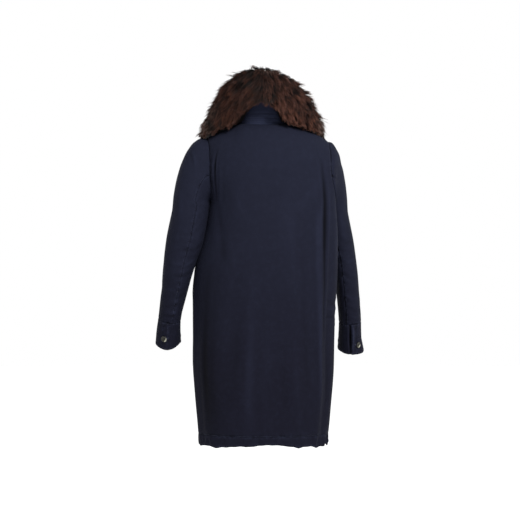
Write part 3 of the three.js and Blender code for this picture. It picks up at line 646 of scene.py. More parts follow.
# %% Body folds
BACK_FOLDS = [
    ([(38, -250), (40, -420), (42, -600), (46, -900)], 13, -1.5),
    ([(53, -170), (53, -300), (53, -420), (56, -640), (59, -905)], 7, 2.0),
    ([(60, -70), (60, -180), (59, -300), (59, -440), (61, -660)], 5, -5.0),
    ([(64, -560), (68, -740), (70, -900)], 8, -1.8),
    ([(-24, -380), (-28, -680), (-31, -960)], 22, -2.0),
    ([(-44, -500), (-48, -740), (-46, -940)], 15, 1.0),
    ([(-58, -430), (-61, -700), (-60, -940)], 9, -1.6),
    ([(20, -620), (23, -800), (25, -940)], 17, -1.5),
    ([(5, -560), (2, -780), (5, -940)], 18, 0.8),
    ([(-67, -430), (-70, -650), (-72, -890)], 7, 1.2),
    ([(-62, -70), (-61, -150), (-62, -225)], 5, -4.4),
    ([(-54, -100), (-53, -170), (-55, -250)], 7, 1.2),
    ([(-60, -225), (-50, -310), (-40, -420)], 12, -1.4),
    ([(-34, -205), (-26, -262), (-14, -310)], 12, 0.6),
    ([(58, -190), (48, -270), (42, -360)], 12, -0.9),
    ([(58, -150), (48, -205), (36, -260)], 11, 0.6),
    ([(-35, -112), (0, -128), (33, -114)], 16, 0.5),
    ([(-22, -210), (4, -222), (24, -205)], 15, -0.8),
    ([(-16, -356), (6, -368), (22, -352)], 12, 0.7),
    ([(-40, -452), (-18, -470)], 10, -0.8),
    ([(62, -524), (74, -530), (90, -526)], 5, -2.6),
    ([(64, -546), (76, -550), (90, -545)], 4.5, 2.0),
    ([(60, -566), (73, -572), (88, -568)], 5, -2.6),
    ([(66, -590), (86, -594)], 4.5, 1.0),
    ([(-88, -300), (-72, -312), (-60, -330)], 6, -1.1),
    ([(-89, -352), (-74, -356)], 5, 0.9),
]
# Painted shade and light on the back: darker at the lower left, beside the left armhole and on the right
# side, lighter on the upper right.
BACK_PAINTED_ZONES = [
    ([(-54, -340), (-56, -600), (-54, -1010)], 58, -0.5),
    ([(-44, -120), (-42, -250), (-40, -420)], 24, -0.22),
    ([(30, -60), (30, -260), (26, -520)], 60, 0.12),
    ([(78, -170), (80, -300), (84, -440)], 14, -0.9),
]
FRONT_LEFT_FOLDS = [
    ([(-112, -210), (-126, -330), (-133, -480)], 10, -2.0),
    ([(-118, -420), (-120, -660), (-117, -900)], 11, 2.0),
    ([(-146, -520), (-150, -720), (-147, -905)], 14, -2.2),
    ([(-165, -300), (-160, -360), (-148, -420)], 8, 1.0),
    ([(-135, -130), (-150, -150), (-166, -140)], 9, 0.9),
    ([(-98, -470), (-101, -640), (-99, -860)], 8, -1.6),
]
FRONT_RIGHT_FOLDS = [
    ([(118, -250), (127, -350), (134, -500)], 10, -2.0),
    ([(116, -480), (119, -660), (116, -900)], 11, 2.0),
    ([(150, -540), (153, -720), (149, -905)], 14, -2.2),
    ([(160, -250), (154, -330), (146, -400)], 8, 1.0),
    ([(176, -182), (162, -190), (150, -186)], 5, -1.1),
    ([(176, -312), (163, -306), (152, -312)], 5, -1.1),
    ([(176, -442), (164, -448), (150, -444)], 5, -1.1),
    ([(176, -572), (165, -566), (152, -572)], 5, -1.0),
    ([(138, -130), (152, -152), (168, -142)], 9, 0.9),
]

# %% [markdown]
# Under the left arm the body and the sleeve rest against each other. The body's side
# swells out there a little, and the inner side of the sleeve swells towards it.

# %% Body panels
BODY_SWELL = -4.5 * MM
SLEEVE_SWELL = 9.5 * MM


def soft_step(share):
    """0 up to 0 and 1 from 1, with a soft rise between."""
    share = np.clip(share, 0, 1)
    return share * share * (3 - 2 * share)


def below_left_arm(height, low, high):
    """1 at heights beside the upper arm, falling to 0 at the underarm and at the elbow."""
    return soft_step((high - height) / (20 * MM)) * soft_step((height - low) / (130 * MM))


def side_swell(points):
    """The left side of the body swells towards the sleeve."""
    beside = np.clip((-points[:, 0] - 130 * MM) / (60 * MM), 0, 1)
    share = below_left_arm(points[:, 2], -500 * MM, -222 * MM) * beside
    return share[:, None] * (BODY_SWELL, 0, 0)


cloth_piece("back", body_map, BACK_FOLDS, shape=side_swell, painted_zones=BACK_PAINTED_ZONES)
cloth_piece("front_right", body_map, FRONT_RIGHT_FOLDS)
cloth_piece("front_left", body_map, FRONT_LEFT_FOLDS, shape=side_swell)

# %% [markdown]
# The hem is a channel with a cord inside. The cord draws the cloth into small gathers,
# deepest in the middle of the channel, and the lower edge rises and falls in scallops.
# A knob of bunched cloth sits at the right side seam.

# %% Hem channel
HEM_TOP = -921 * MM
HEM_HEIGHT = 33 * MM
KNOB_ANGLE = 79
KNOB_LOW = 0.62
KNOB_SIZE = 5


def gathered_hem(points):
    """Scallops of the lower edge, and gathers that fade towards the stitched line."""
    level = points * (1, 1, 0)
    radial = level / np.linalg.norm(level, axis=1)[:, None]
    low = np.clip((HEM_TOP - points[:, 2]) / HEM_HEIGHT, 0, 1)
    gather = 1.5 * ripple(level, 0.021, 5) + 0.9 * ripple(level, 0.012, 6)
    scallop = 1.9 * ripple(level, 0.026, 7)
    angle, _, _ = body_map(points)
    knob = KNOB_SIZE * bell(angle - KNOB_ANGLE, 1.8) * bell(low - KNOB_LOW, 0.3)
    out = gather * np.sin(np.pi * np.clip(low * 0.8 + 0.1, 0, 1)) + knob
    return (out[:, None] * radial + (scallop * low**2)[:, None] * (0, 0, 1)) * MM


for node in ("hem_back", "hem_front_right", "hem_front_left"):
    cloth_piece(node, body_map, [], rows=0, sink=0.8, pucker=0.6, pucker_size=11, pucker_reach=7,
                swell=0.3, shape=gathered_hem)

# %% [markdown]
# Each sleeve has an upper and an under piece, so a seam runs down the back of the arm.
# The sewing draws it into close puckers. The head of the sleeve is eased into the
# armhole in small gathers, and slanting drag lines cross the elbow and the forearm.

# %% Sleeves
LEFT_SLEEVE_FOLDS = [
    ([(262, -58), (258, -84), (254, -118)], 4.5, -1.6),
    ([(249, -62), (247, -92), (249, -130)], 4.5, -1.4),
    ([(277, -56), (271, -78), (266, -104)], 5, 1.2),
    ([(292, -58), (286, -84), (280, -112)], 5, -1.1),
    ([(238, -78), (240, -110), (244, -150)], 4.5, 1.1),
    ([(300, -150), (290, -230), (286, -310)], 9, 1.3),
    ([(222, -300), (262, -330), (296, -322)], 7, -1.3),
    ([(200, -352), (240, -376), (285, -372)], 7, -2.0),
    ([(212, -396), (252, -418), (300, -408)], 6, 1.6),
    ([(205, -432), (245, -452), (290, -446)], 6, -2.0),
    ([(230, -470), (270, -492), (318, -486)], 6, 1.4),
    ([(210, -498), (250, -514), (292, -510)], 5, -1.8),
    ([(240, -530), (280, -544), (320, -536)], 5, -1.4),
    ([(222, -548), (258, -560), (300, -556)], 4.5, 1.3),
    ([(230, -566), (270, -572), (315, -566)], 4, -1.4),
    ([(330, -420), (352, -470), (372, -500)], 8, -1.6),
    ([(60, -380), (96, -405), (130, -398)], 8, -2.2),
    ([(64, -430), (100, -452), (134, -446)], 8, 1.8),
    ([(50, -500), (92, -520), (128, -512)], 7, -1.6),
    ([(150, -300), (176, -330), (196, -322)], 7, -1.2),
]
RIGHT_SLEEVE_FOLDS = [
    ([(262, -66), (257, -96), (250, -132)], 4.5, -1.5),
    ([(280, -64), (274, -92), (266, -124)], 5, 1.2),
    ([(300, -70), (292, -100), (284, -136)], 5, -1.0),
    ([(292, -190), (284, -270), (280, -350)], 8, 1.2),
    ([(250, -330), (282, -352), (316, -346)], 7, -1.6),
    ([(244, -384), (280, -408), (318, -400)], 7, 1.4),
    ([(250, -440), (286, -462), (324, -456)], 6, -1.8),
    ([(246, -500), (280, -520), (320, -514)], 6, 1.4),
    ([(252, -546), (290, -558), (330, -552)], 5, -1.6),
    ([(256, -570), (292, -578), (326, -572)], 4, 1.2),
    ([(60, -400), (96, -424), (132, -418)], 8, -2.2),
    ([(56, -460), (96, -484), (136, -476)], 8, 1.8),
    ([(30, -330), (20, -380), (24, -430)], 8, 1.2),
    ([(340, -520), (362, -552), (384, -560)], 7, -1.4),
]

# %% [markdown]
# The inner side of the left sleeve swells out to meet the body's side. Both pieces of a
# sleeve take the same folds, so that each fold runs on across the seam between them.


# %% Sewing the sleeves
def sleeve_swell(points):
    """The inner side of the left sleeve swells towards the body."""
    angle, height, _ = arm_map("left")(points)
    inner = np.clip(-np.cos(np.radians(angle)) + 0.35, 0, 1)
    share = below_left_arm(height, -470 * MM, -220 * MM) * inner
    return share[:, None] * (SLEEVE_SWELL, 0, 0)


for side, folds in (("left", LEFT_SLEEVE_FOLDS), ("right", RIGHT_SLEEVE_FOLDS)):
    for part in ("upper", "under"):
        cloth_piece(f"sleeve_{side}_{part}", arm_map(side), folds, pucker=1.1, pucker_size=10,
                    pucker_reach=12, shape=sleeve_swell if side == "left" else None)

# %% [markdown]
# The cuffs are bands that lap at the back of the wrist, with a few creases above the
# button. Their lower edge rises and falls round the wrist, and the right one flares.

# %% Cuffs
CUFF_FOLDS = {
    "left": [
        ([(256, -590), (290, -600), (330, -592)], 4, -1.0),
        ([(276, -612), (306, -622), (346, -614)], 4, -1.4),
        ([(258, -600), (266, -612), (268, -630)], 4, 1.3),
        ([(20, -600), (60, -610), (100, -602)], 5, -1.2),
        ([(120, -620), (160, -630), (200, -624)], 5, 1.0),
    ],
    "right": [
        ([(262, -604), (296, -612), (330, -606)], 4, -1.0),
        ([(284, -630), (312, -640), (350, -632)], 4, -1.4),
        ([(266, -572), (268, -630), (269, -700)], 3, -4.5),
        ([(278, -580), (279, -630), (280, -696)], 4, 2.6),
        ([(20, -620), (60, -632), (100, -624)], 5, -1.2),
        ([(120, -640), (160, -650), (200, -642)], 5, 1.0),
    ],
}
CUFF_RISE = {"left": (9, 20), "right": (-4, 9)}
CUFF_FLARE = {"left": 0, "right": 8}
CUFF_DROP = {"left": 0, "right": 3}
CUFF_LOW = {"left": -672 * MM, "right": -690 * MM}
CUFF_BAND = 50 * MM


def cuff_shape(side):
    """A cuff's lower edge hangs lowest at the back of the wrist, rises to its sides, and may flare."""
    def shape(points):
        angle, height, _ = arm_map(side)(points)
        low = np.clip((CUFF_LOW[side] + CUFF_BAND - height) / CUFF_BAND, 0, 1)
        outer = np.cos(np.radians(angle))
        rise = np.where(outer > 0, *CUFF_RISE[side]) * low**2 * outer**2 - CUFF_DROP[side] * low**2
        flare = CUFF_FLARE[side] * low * np.clip(outer, 0, 1)
        return np.stack([flare, 0 * rise, rise], 1) * MM
    return shape


for side in ("left", "right"):
    cloth_piece(f"cuff_{side}", arm_map(side), CUFF_FOLDS[side], levels=3, rows=0, sink=1.0,
                pucker_size=9, pucker_reach=8, swell=0.6, shape=cuff_shape(side))

# %% [markdown]
# The stand is a stiff band inside the fur, stiffened by rows of stitching that sink into
# it. A wide band of painted light covers it, where the fur shades it.

# %% Stand
STAND_ROWS = (35, 22, 9)
STAND_MIDDLE = 24


def level_line(height):
    """A path all round the neck at one height."""
    return [(angle, height) for angle in (-178, -60, 60, 178)]


# The wide band at the stand's middle is painted light, and the stitch rows are painted darker, as painted
# shade.
cloth_piece("collar_stand", body_map, [(level_line(row), 2.6, -1.1) for row in STAND_ROWS], levels=3,
            rows=0, sink=0.4, pucker=0.25, pucker_size=16, swell=0.3,
            painted_zones=[(level_line(STAND_MIDDLE), 60, 1.3)])

# %% [markdown]
# The fur is long brown hair, parted at centre back, with dark roots, rusty middles and
# paler tips. Near black and orange patches run through it, and pale patches at the peak
# and the outer edges are painted highlight. All hairs share one material, which reads two
# numbers that each hair carries: how far along it a point is, and a tone of its own, which
# is lower in the gaps between tufts as painted shade.

# %% Fur finish
DARK_PATCHES = [
    ((-62, -70, 128), 34), ((-36, -78, 92), 20), ((92, -60, 96), 14), ((38, -70, 66), 20),
    ((-150, -40, -8), 20), ((18, -74, 128), 16), ((136, -30, 60), 20),
]
RUST_PATCHES = [
    ((-110, -60, 88), 26), ((-30, -82, 70), 16), ((-112, -70, 22), 24), ((50, -86, 42), 34),
    ((108, -60, 86), 24), ((96, -90, 20), 34), ((150, -40, 0), 24), ((122, -60, 104), 20),
    ((66, -88, 30), 22),
]
OLIVE_PATCHES = [((-28, -86, 84), 13)]
# Pale patches at the peak and the outer edges are painted highlight on the hair tips.
PALE_HIGHLIGHT_PATCHES = [
    ((-178, -20, -14), 30), ((-168, -30, 40), 26), ((186, -10, -6), 28), ((8, -60, 172), 34),
]


def near_patches(place, patches):
    """1 at the middle of a patch and 0 away from all of them."""
    total = None
    for middle, size in patches:
        away = place.node(
            "VectorMath", {"operation": "DISTANCE"}, output="Value",
            Vector1=place, Vector2=[v * MM for v in middle])
        spot = 1 - away.rise(0.3 * size * MM, 1.7 * size * MM)
        total = spot if total is None else total.maths("MAXIMUM", total, spot)
    return total


def fur_finish(name):
    """Brown hair, darkest at its root, with rusty, sooty and olive patches, and pale patches of painted
    highlight.
    """
    material, net = start_material(name)
    place = net.node("TexCoord", output="Object")
    along = net.node("Attribute", {"attribute_name": "along"}, output="Fac")
    tone = net.node("Attribute", {"attribute_name": "tone"}, output="Fac")
    blotch = net.node("TexNoise", Vector=place, Scale=26.0, Detail=3.0, Roughness=0.6)
    hair = net.node("ValToRGB", {"stops": [
        (0.0, "030202"), (0.4, "0c0706"), (0.68, "22130e"), (0.88, "40271f"), (1.0, "6c4d47")]}, Fac=along)
    rusty = net.node("ValToRGB", {"stops": [
        (0.0, "050302"), (0.4, "180c09"), (0.7, "3a2118"), (0.9, "56362a"), (1.0, "755347")]}, Fac=along)
    sooty = net.node("ValToRGB", {"stops": [
        (0.0, "030202"), (0.5, "090504"), (0.85, "150c0a"), (1.0, "241714")]}, Fac=along)
    rust = (near_patches(place, RUST_PATCHES) * 0.55 + tone * 1.1 + blotch * 0.5 - 0.85).rise(0.0, 0.6)
    soot = (near_patches(place, DARK_PATCHES) * 0.8 + blotch * 0.4 - tone * 1.1 - 0.06).rise(0.0, 0.4)
    colour = net.mix(rust, hair, rusty)
    colour = net.mix(soot, colour, sooty)
    colour = net.mix(near_patches(place, OLIVE_PATCHES) * along.rise(0.2, 0.7) * 0.7, colour, "2c2208")
    # Painted highlight: pale grey tips at the peak and the outer edges of the collar.
    pale_highlight = near_patches(place, PALE_HIGHLIGHT_PATCHES) * along.rise(0.45, 0.95) * tone.rise(0.2, 0.7)
    colour = net.mix(pale_highlight * 0.8, colour, "6f625c")
    tips = along.rise(0.8, 1.0) * tone.rise(0.55, 0.9)
    colour = net.mix(tips * 0.6, colour, "7d6460")
    finish_material(net, Base_Color=colour, Roughness=0.6, Specular_IOR_Level=0.1)
    return material


brown_fur = fur_finish("brown_fur")
print("fur nodes:", len(brown_fur.node_tree.nodes))

# %% [markdown]
# Under the hair lies a dark pelt, painted near black as painted shade under the hair.
# It is the CAD collar drawn in by the depth of the hair, so that it never shows between
# the strands. The two halves overlap at the parting.

# %% Pelt
PELT_DEPTH = 13 * MM
PELT_OVERLAP = 2.5 * MM
collar_trees = {}


def make_pelt(side):
    """The CAD collar of one side, drawn in and evened out. Keeps a tree of it as it was."""
    pelt = bmesh.new()
    pelt.from_mesh(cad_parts[f"fur_{side}"].data)
    bmesh.ops.remove_doubles(pelt, verts=pelt.verts, dist=0.05 * MM)
    collar_trees[side] = BVHTree.FromBMesh(pelt)
    bmesh.ops.subdivide_edges(pelt, edges=pelt.edges, cuts=1, use_grid_fill=True)
    pelt.normal_update()
    parting = [v for v in pelt.verts if abs(v.co.x) < 1 * MM and v.co.y < 0]
    for vert, inward in [(v, v.normal * -PELT_DEPTH) for v in pelt.verts]:
        inward.z = min(inward.z, 0)
        vert.co += inward
    for _ in range(4):
        bmesh.ops.smooth_vert(
            pelt, verts=pelt.verts, factor=0.5, use_axis_x=True, use_axis_y=True, use_axis_z=True)
    for vert in parting:
        vert.co.x = PELT_OVERLAP if side == "left" else -PELT_OVERLAP
    mesh = bpy.data.meshes.new(f"pelt_{side}")
    pelt.to_mesh(mesh)
    pelt.free()
    # The pelt has no numbers along its hairs, so it takes the hair's near-black root colour, as painted
    # shade.
    mesh.materials.append(brown_fur)
    mesh.shade_smooth()
    return mesh


for side in ("left", "right"):
    piece = add_piece(f"pelt_{side}", make_pelt(side), f"fur_{side}")
    print(piece.name, "faces", len(piece.data.polygons))

# %% [markdown]
# The hair flows from the crest of the collar outwards and down, and from the crest into
# the neck. To lay it, the collar is cut by upright planes through the middle of the
# neck. In each plane rays from inside the roll find its outline, which is measured off
# in equal steps from the crest. Past the lower edge the outline runs on a little, over
# the cloth, so that the longest hairs have somewhere to lie.

# %% Outline of the fur roll
FUR_TURNS = np.radians(np.linspace(0.4, 165.0, 84))
FALL_STEPS = 40
FRINGE_STEPS = 14
FOCUS_OUT = 14 * MM
FUR_CLEAR = 3 * MM
FRINGE_DROOP = np.array((0, 0, -0.12))
UNDER_FUR = ("back", "front_right", "front_left", "sleeve_left_upper", "sleeve_right_upper")
stand_low, stand_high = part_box("collar_stand")
cloth_trees = {node: tree_of(skin) for node, skin in skins.items()}


def cloth_top(point):
    """The height of the cloth under a point, or far down where there is none."""
    start = Vector((point[0], point[1], 0.3))
    hits = [cloth_trees[node].ray_cast(start, Vector((0, 0, -1)))[0] for node in UNDER_FUR]
    return max([hit.z for hit in hits if hit is not None and hit.z > -0.25], default=-9)


def roll_outline(side, turn):
    """The collar's outline in one upright plane, from its inner foot over the crest and down."""
    sign = -1 if side == "left" else 1
    outward = Vector((sign * math.sin(turn), -math.cos(turn), 0))
    depth = -stand_low.y if math.cos(turn) > 0 else stand_high.y
    neck = 1 / math.hypot(math.sin(turn) / stand_high.x, math.cos(turn) / depth)
    ring = outward * (neck + FOCUS_OUT)
    tree = collar_trees[side]
    top = tree.ray_cast(ring + Vector((0, 0, 0.4)), Vector((0, 0, -1)))[0]
    foot = tree.ray_cast(ring + Vector((0, 0, -0.4)), Vector((0, 0, 1)))[0]
    focus = foot.lerp(top, 0.4)
    points = []
    for tilt in np.radians(np.linspace(232, -76, 120)):
        hit = tree.ray_cast(focus, outward * math.cos(tilt) + Vector((0, 0, math.sin(tilt))))[0]
        if hit is not None:
            points.append(hit)
    return np.array(points), np.array(outward)


def runs_of(points):
    """How far along a line of points each of them lies."""
    steps = np.linalg.norm(np.diff(points, axis=0), axis=1)
    return np.concatenate([[0], np.cumsum(steps)])


def at_runs(places, runs, values):
    """Values kept at the points of a line, read between them."""
    return np.stack([np.interp(places, runs, values[:, k]) for k in range(3)], 1)


def fringe_below(row, span, inner):
    """Where an outline runs on past its lower edge, drooping, but over the cloth."""
    step = row[-1] - row[-3]
    step /= np.linalg.norm(step)
    line = [row[-1]]
    for _ in range(FRINGE_STEPS):
        step = step + FRINGE_DROOP
        step /= np.linalg.norm(step)
        point = line[-1] + step * span / FALL_STEPS
        if not inner:
            point[2] = max(point[2], cloth_top(point) + FUR_CLEAR)
        line.append(point)
    return line[1:]


def fur_sheet(side, inner):
    """The hair's surface as a grid of planes by steps, with its normals and lengths."""
    rows, spans = [], []
    shares = np.linspace(0, 1, FALL_STEPS + 1)
    for turn in FUR_TURNS:
        points, outward = roll_outline(side, turn)
        crest = int(points[:, 2].argmax())
        far = crest + int((points[crest:] @ outward).argmax())
        line = points[:crest + 1][::-1] if inner else points[crest:far + 1]
        runs = runs_of(line)
        row, span = at_runs(shares * runs[-1], runs, line), runs[-1]
        rows.append(np.vstack([row, fringe_below(row, span, inner)]))
        spans.append(span)
    grid = np.array(rows)
    around, down = np.gradient(grid, axis=0), np.gradient(grid, axis=1)
    spacing = np.linalg.norm(around, axis=2, keepdims=True)
    around /= spacing
    normal = np.cross(around, down)
    normal /= np.linalg.norm(normal, axis=2, keepdims=True)
    middle = grid[:, :FALL_STEPS].mean(axis=(0, 1))
    if np.mean(normal[:, 5:20] * (grid[:, 5:20] - middle)) * (-1 if inner else 1) < 0:
        normal = -normal
    return grid, normal, spacing, np.array(spans)


def on_grid(grid, across, down):
    """Values of a grid between its points."""
    i = np.clip(across.astype(int), 0, grid.shape[0] - 2)
    j = np.clip(down.astype(int), 0, grid.shape[1] - 2)
    a = np.clip(across - i, 0, 1)[:, None]
    b = np.clip(down - j, 0, 1)[:, None]
    near = grid[i, j] * (1 - a) + grid[i + 1, j] * a
    far = grid[i, j + 1] * (1 - a) + grid[i + 1, j + 1] * a
    return near * (1 - b) + far * b


# %% [markdown]
# Each hair is a thin three-sided spike bent over the outline. A few hairs make a strand,
# a few strands a lock, and a few locks a tuft. A hair leans towards the middle of its
# strand, most at its tip, and the gaps between tufts are painted darker, as painted
# shade. Roots are drawn at random, more of them where the grid is wide, so that the fur is
# even.

# %% Roots
GROUP_SIZES = (90, 24, 8)
TUFT_RADIUS = 11 * MM


def nearest_of(points, chosen):
    """For every point, the nearest of the chosen ones."""
    tree = KDTree(len(chosen))
    for index in chosen:
        tree.insert(points[index], int(index))
    tree.balance()
    return np.array([tree.find(point)[1] for point in points])


def plant_hair(sheet, count, source):
    """Where each root lies on the grid, its tuft, lock and strand, and how near a gap it is."""
    grid, _, _, spans = sheet
    wide = np.linalg.norm(np.diff(grid[:, :FALL_STEPS], axis=0), axis=2)
    chance = wide * (spans[:-1, None] / FALL_STEPS)
    cell = source.choice(chance.size, count, p=(chance / chance.sum()).ravel())
    across = cell // chance.shape[1] + source.random(count)
    down = cell % chance.shape[1] + source.random(count)
    root = on_grid(grid, across, down)
    groups = [nearest_of(root, source.choice(count, count // size, replace=False))
              for size in GROUP_SIZES]
    tuft = groups[0]
    gap = np.clip(np.linalg.norm(root - root[tuft], axis=1) / TUFT_RADIUS, 0, 1) ** 2
    return across, down, groups, gap


print("hairs in a tuft, lock and strand:", GROUP_SIZES)

# %% [markdown]
# Four things tell how a hair lies. It slants away from the parting, except for the hairs
# right beside it, which close it. Its tip lies a few centimetres down from its root, but
# at most a little past the collar's lower edge. Near the crest many locks stand up. And
# the tip lifts off the outline, in some locks and strands more than in others. Lengths
# are in millimetres, and standing and stray hairs are shares.

# %% How the hair lies
SIDE_LEAN = {"left": 30.0, "right": 7.0}
PARTING_LEAN = {"left": 4.0, "right": 6.0}
APEX_DROOP = {"left": 3.0, "right": 10.0}
STANDING_LOCKS = {"left": 0.7, "right": 0.5}
PEAK_STANDS = {"left": 0.0, "right": 0.3}
SHORTEST = 9
LOCK_LIFT = 17
STANDING_LIFT = 15
STRAY_STRANDS = 0.12
STRAY_HAIRS = 0.1


def slant_of(side, turn, near_part, lock, strand, source):
    """How far each hair slants along the collar."""
    count = len(turn)
    slant = source.normal(0, 6.0, count)[lock] + source.normal(0, 3.0, count)[strand]
    slant += source.normal(0, 1.0, count)
    slant += PARTING_LEAN[side] * np.exp(-turn / 26) + SIDE_LEAN[side] * bell(turn, 80)
    return slant * (1 - near_part) - near_part * source.uniform(2, 12, count)


def tip_of(side, turn, down, step, length, lock, source):
    """How far down the grid each tip comes to lie."""
    count = len(turn)
    reach = source.uniform(*length, count) * (0.8 + 0.3 * source.random(count)[lock]) * MM
    droop = source.uniform(3, 13, count)[lock] + source.uniform(-3, 4, count)
    droop += APEX_DROOP[side] * np.exp(-turn / 14)
    limit = FALL_STEPS + droop * MM / step
    return np.clip(down + reach / step, None, np.maximum(limit, down + SHORTEST * MM / step))


def upright_of(side, turn, near_crest, lock, source):
    """How far each lock stands up, from 0 to 1."""
    count = len(turn)
    stands = source.random(count) < STANDING_LOCKS[side]
    stands |= source.random(count) < PEAK_STANDS[side] * bell(turn, 9)
    return (stands * source.uniform(0.35, 1, count))[lock] * near_crest


def lift_of(upright, near_part, near_crest, down, gap, lock, strand, source):
    """How high each tip stands over the outline."""
    count = len(down)
    lift = (LOCK_LIFT * source.random(count)[lock] ** 4 + STANDING_LIFT * upright) * (1 - 0.9 * near_part)
    lift += source.uniform(-7, 3, count)[strand]
    lift += (source.uniform(4, 11, count) * (source.random(count) < STRAY_STRANDS))[strand]
    lift += source.uniform(-5, 5, count)[strand] * bell(down, 3) - 3 - 3 * near_crest * gap
    lift += np.where(source.random(count) < STRAY_HAIRS, source.uniform(2, 6, count), 0)
    return lift


print("share of standing locks:", STANDING_LOCKS)

# %% [markdown]
# A hair's middle line has four points, from its root under the outline to its tip. The
# nearer a point is to the tip, the more it leans, slants and lifts. Round this line goes
# a spike of three rings and a tip, which is few faces for something that thin.

# %% Shape of a hair
HAIR_STATIONS = (0.0, 0.38, 0.74, 1.0)
HAIR_WIDTHS = (0.72, 0.66, 0.42)
ROOT_DEPTH = 10.0


def lay_hair(sheet, side, roots, length, source):
    """The middle line of every hair, four points each."""
    grid, normal, spacing, spans = sheet
    across, down, (tuft, lock, strand), gap = roots
    turn = np.degrees(np.interp(across, np.arange(len(FUR_TURNS)), FUR_TURNS))
    step = np.interp(across, np.arange(len(spans)), spans) / FALL_STEPS
    near_part, near_crest = bell(turn, 5), bell(down, 13)
    slant = slant_of(side, turn, near_part, lock, strand, source)
    end = tip_of(side, turn, down, step, length, lock, source)
    pull = source.uniform(0.7, 1.0, len(turn))
    upright = upright_of(side, turn, near_crest, lock, source)
    end = down + (end - down) * np.maximum(1 - 0.72 * upright, 0.15)
    slant = slant * (1 - np.minimum(0.9 * upright, 0.9))
    lift = lift_of(upright, near_part, near_crest, down, gap, lock, strand, source)
    room = np.maximum(on_grid(spacing, across, down)[:, 0], 1.5 * MM)
    centres = []
    for t in HAIR_STATIONS:
        lean = pull * t**1.2
        u = across + lean * (across[strand] - across)
        u = u + (0.5 + 0.3 * upright) * t * (across[lock] - across[strand])
        u = u + 0.15 * t * near_crest * (1 - near_part) * (across[tuft] - across[lock])
        u = u + slant * MM * t**1.3 / room
        v = down + (end - down) * t + lean * (down[strand] - down) * 0.6
        v = v + 0.3 * t * (down[lock] - down[strand])
        depth = -2 - ROOT_DEPTH * (1 - t) ** 1.6 + lift * t**1.5
        centres.append(on_grid(grid, u, v) + on_grid(normal, u, v) * depth[:, None] * MM)
    return np.stack(centres, 1)


def spikes(centres, up, thick):
    """Ten points for every hair: three rings of three, and a tip."""
    ways = np.gradient(centres, axis=1)
    ways /= np.linalg.norm(ways, axis=2, keepdims=True)
    sides = np.cross(ways, up[:, None, :])
    sides /= np.linalg.norm(sides, axis=2, keepdims=True)
    ups = np.cross(sides, ways)
    points = np.zeros((len(centres), 10, 3))
    for k, width in enumerate(HAIR_WIDTHS):
        for j in range(3):
            angle = 2 * math.pi * j / 3
            ring = sides[:, k] * math.cos(angle) + ups[:, k] * math.sin(angle)
            points[:, 3 * k + j] = centres[:, k] + ring * (width * MM * thick)[:, None]
    points[:, 9] = centres[:, 3]
    return points


def hair_faces(count):
    """The triangles of this many spikes."""
    faces = []
    for k in (0, 3):
        for j in range(3):
            one, other = k + j, k + (j + 1) % 3
            faces += [(one, one + 3, other + 3), (one, other + 3, other)]
    faces += [(6 + j, 9, 6 + (j + 1) % 3) for j in range(3)] + [(0, 1, 2)]
    return (np.array(faces)[None] + 10 * np.arange(count)[:, None, None]).reshape(-1, 3)


print("triangles of a hair:", len(hair_faces(1)))

# %% [markdown]
# All hairs of one face of a half are one mesh made from arrays, since tens of thousands of
# objects would be slow. Each hair carries how far along it a point is, and its tone, which
# strands share more than tufts and locks do. The tone is lower near the gaps between tufts,
# as painted shade.


# %% Hair
def grow_hair(side, inner, count, length, seed):
    """One mesh of hair on the outer or inner face of half the collar."""
    sheet = fur_sheet(side, inner)
    source = np.random.default_rng(seed)
    roots = plant_hair(sheet, count, source)
    across, down, (tuft, lock, strand), gap = roots
    centres = lay_hair(sheet, side, roots, length, source)
    points = spikes(centres, on_grid(sheet[1], across, down), source.uniform(0.7, 1.3, count))
    # Painted shade: the tone drops near the gaps between tufts, which darkens those hairs.
    tone = 0.15 * source.random(count)[tuft] + 0.1 * source.random(count)[lock] - 0.2 * gap
    tone = tone + 0.75 * source.random(count)[strand] + 0.2 * source.random(count)
    mesh = bpy.data.meshes.new(f"hair_{'inner' if inner else 'outer'}_{side}")
    mesh.from_pydata(points.reshape(-1, 3), [], hair_faces(count))
    mesh.materials.append(brown_fur)
    mesh.shade_smooth()
    add_number(mesh, "along", np.tile(np.repeat(HAIR_STATIONS, (3, 3, 3, 1)), count))
    add_number(mesh, "tone", np.repeat(tone, 10))
    add_piece(mesh.name, mesh, f"fur_{side}")
    print(mesh.name, "hairs", count, "triangles", len(mesh.polygons))


for seed, side in enumerate(("left", "right")):
    grow_hair(side, False, 12000, (24, 42), 31 + seed)
    grow_hair(side, True, 3000, (26, 40), 41 + seed)

# %% [markdown]
# Rows of topstitching follow the seams and the free edges. The rim of every piece is
# walked in order and moved inwards by an inset. The part of it that runs beside a given
# neighbour is one row, and a part with no neighbour at all is a free edge. A stitch is a
# short spindle, and all stitches are one mesh.

# %% Topstitching
STITCH = (1.45 * MM, 0.42 * MM, 0.34 * MM)
STITCH_PITCH = 4.0 * MM
SEAM_REACH = 6.0 * MM
SPINDLE = np.array([(1, 0, 0), (0, 1, 0), (0, 0, 1), (0, -1, 0), (0, 0, -1), (-1, 0, 0)], float)
SPINDLE_FACES = np.array([
    (0, 1, 2), (0, 2, 3), (0, 3, 4), (0, 4, 1), (5, 2, 1), (5, 3, 2), (5, 4, 3), (5, 1, 4)])
STITCH_LIFT = 0.1
stitch_points = []


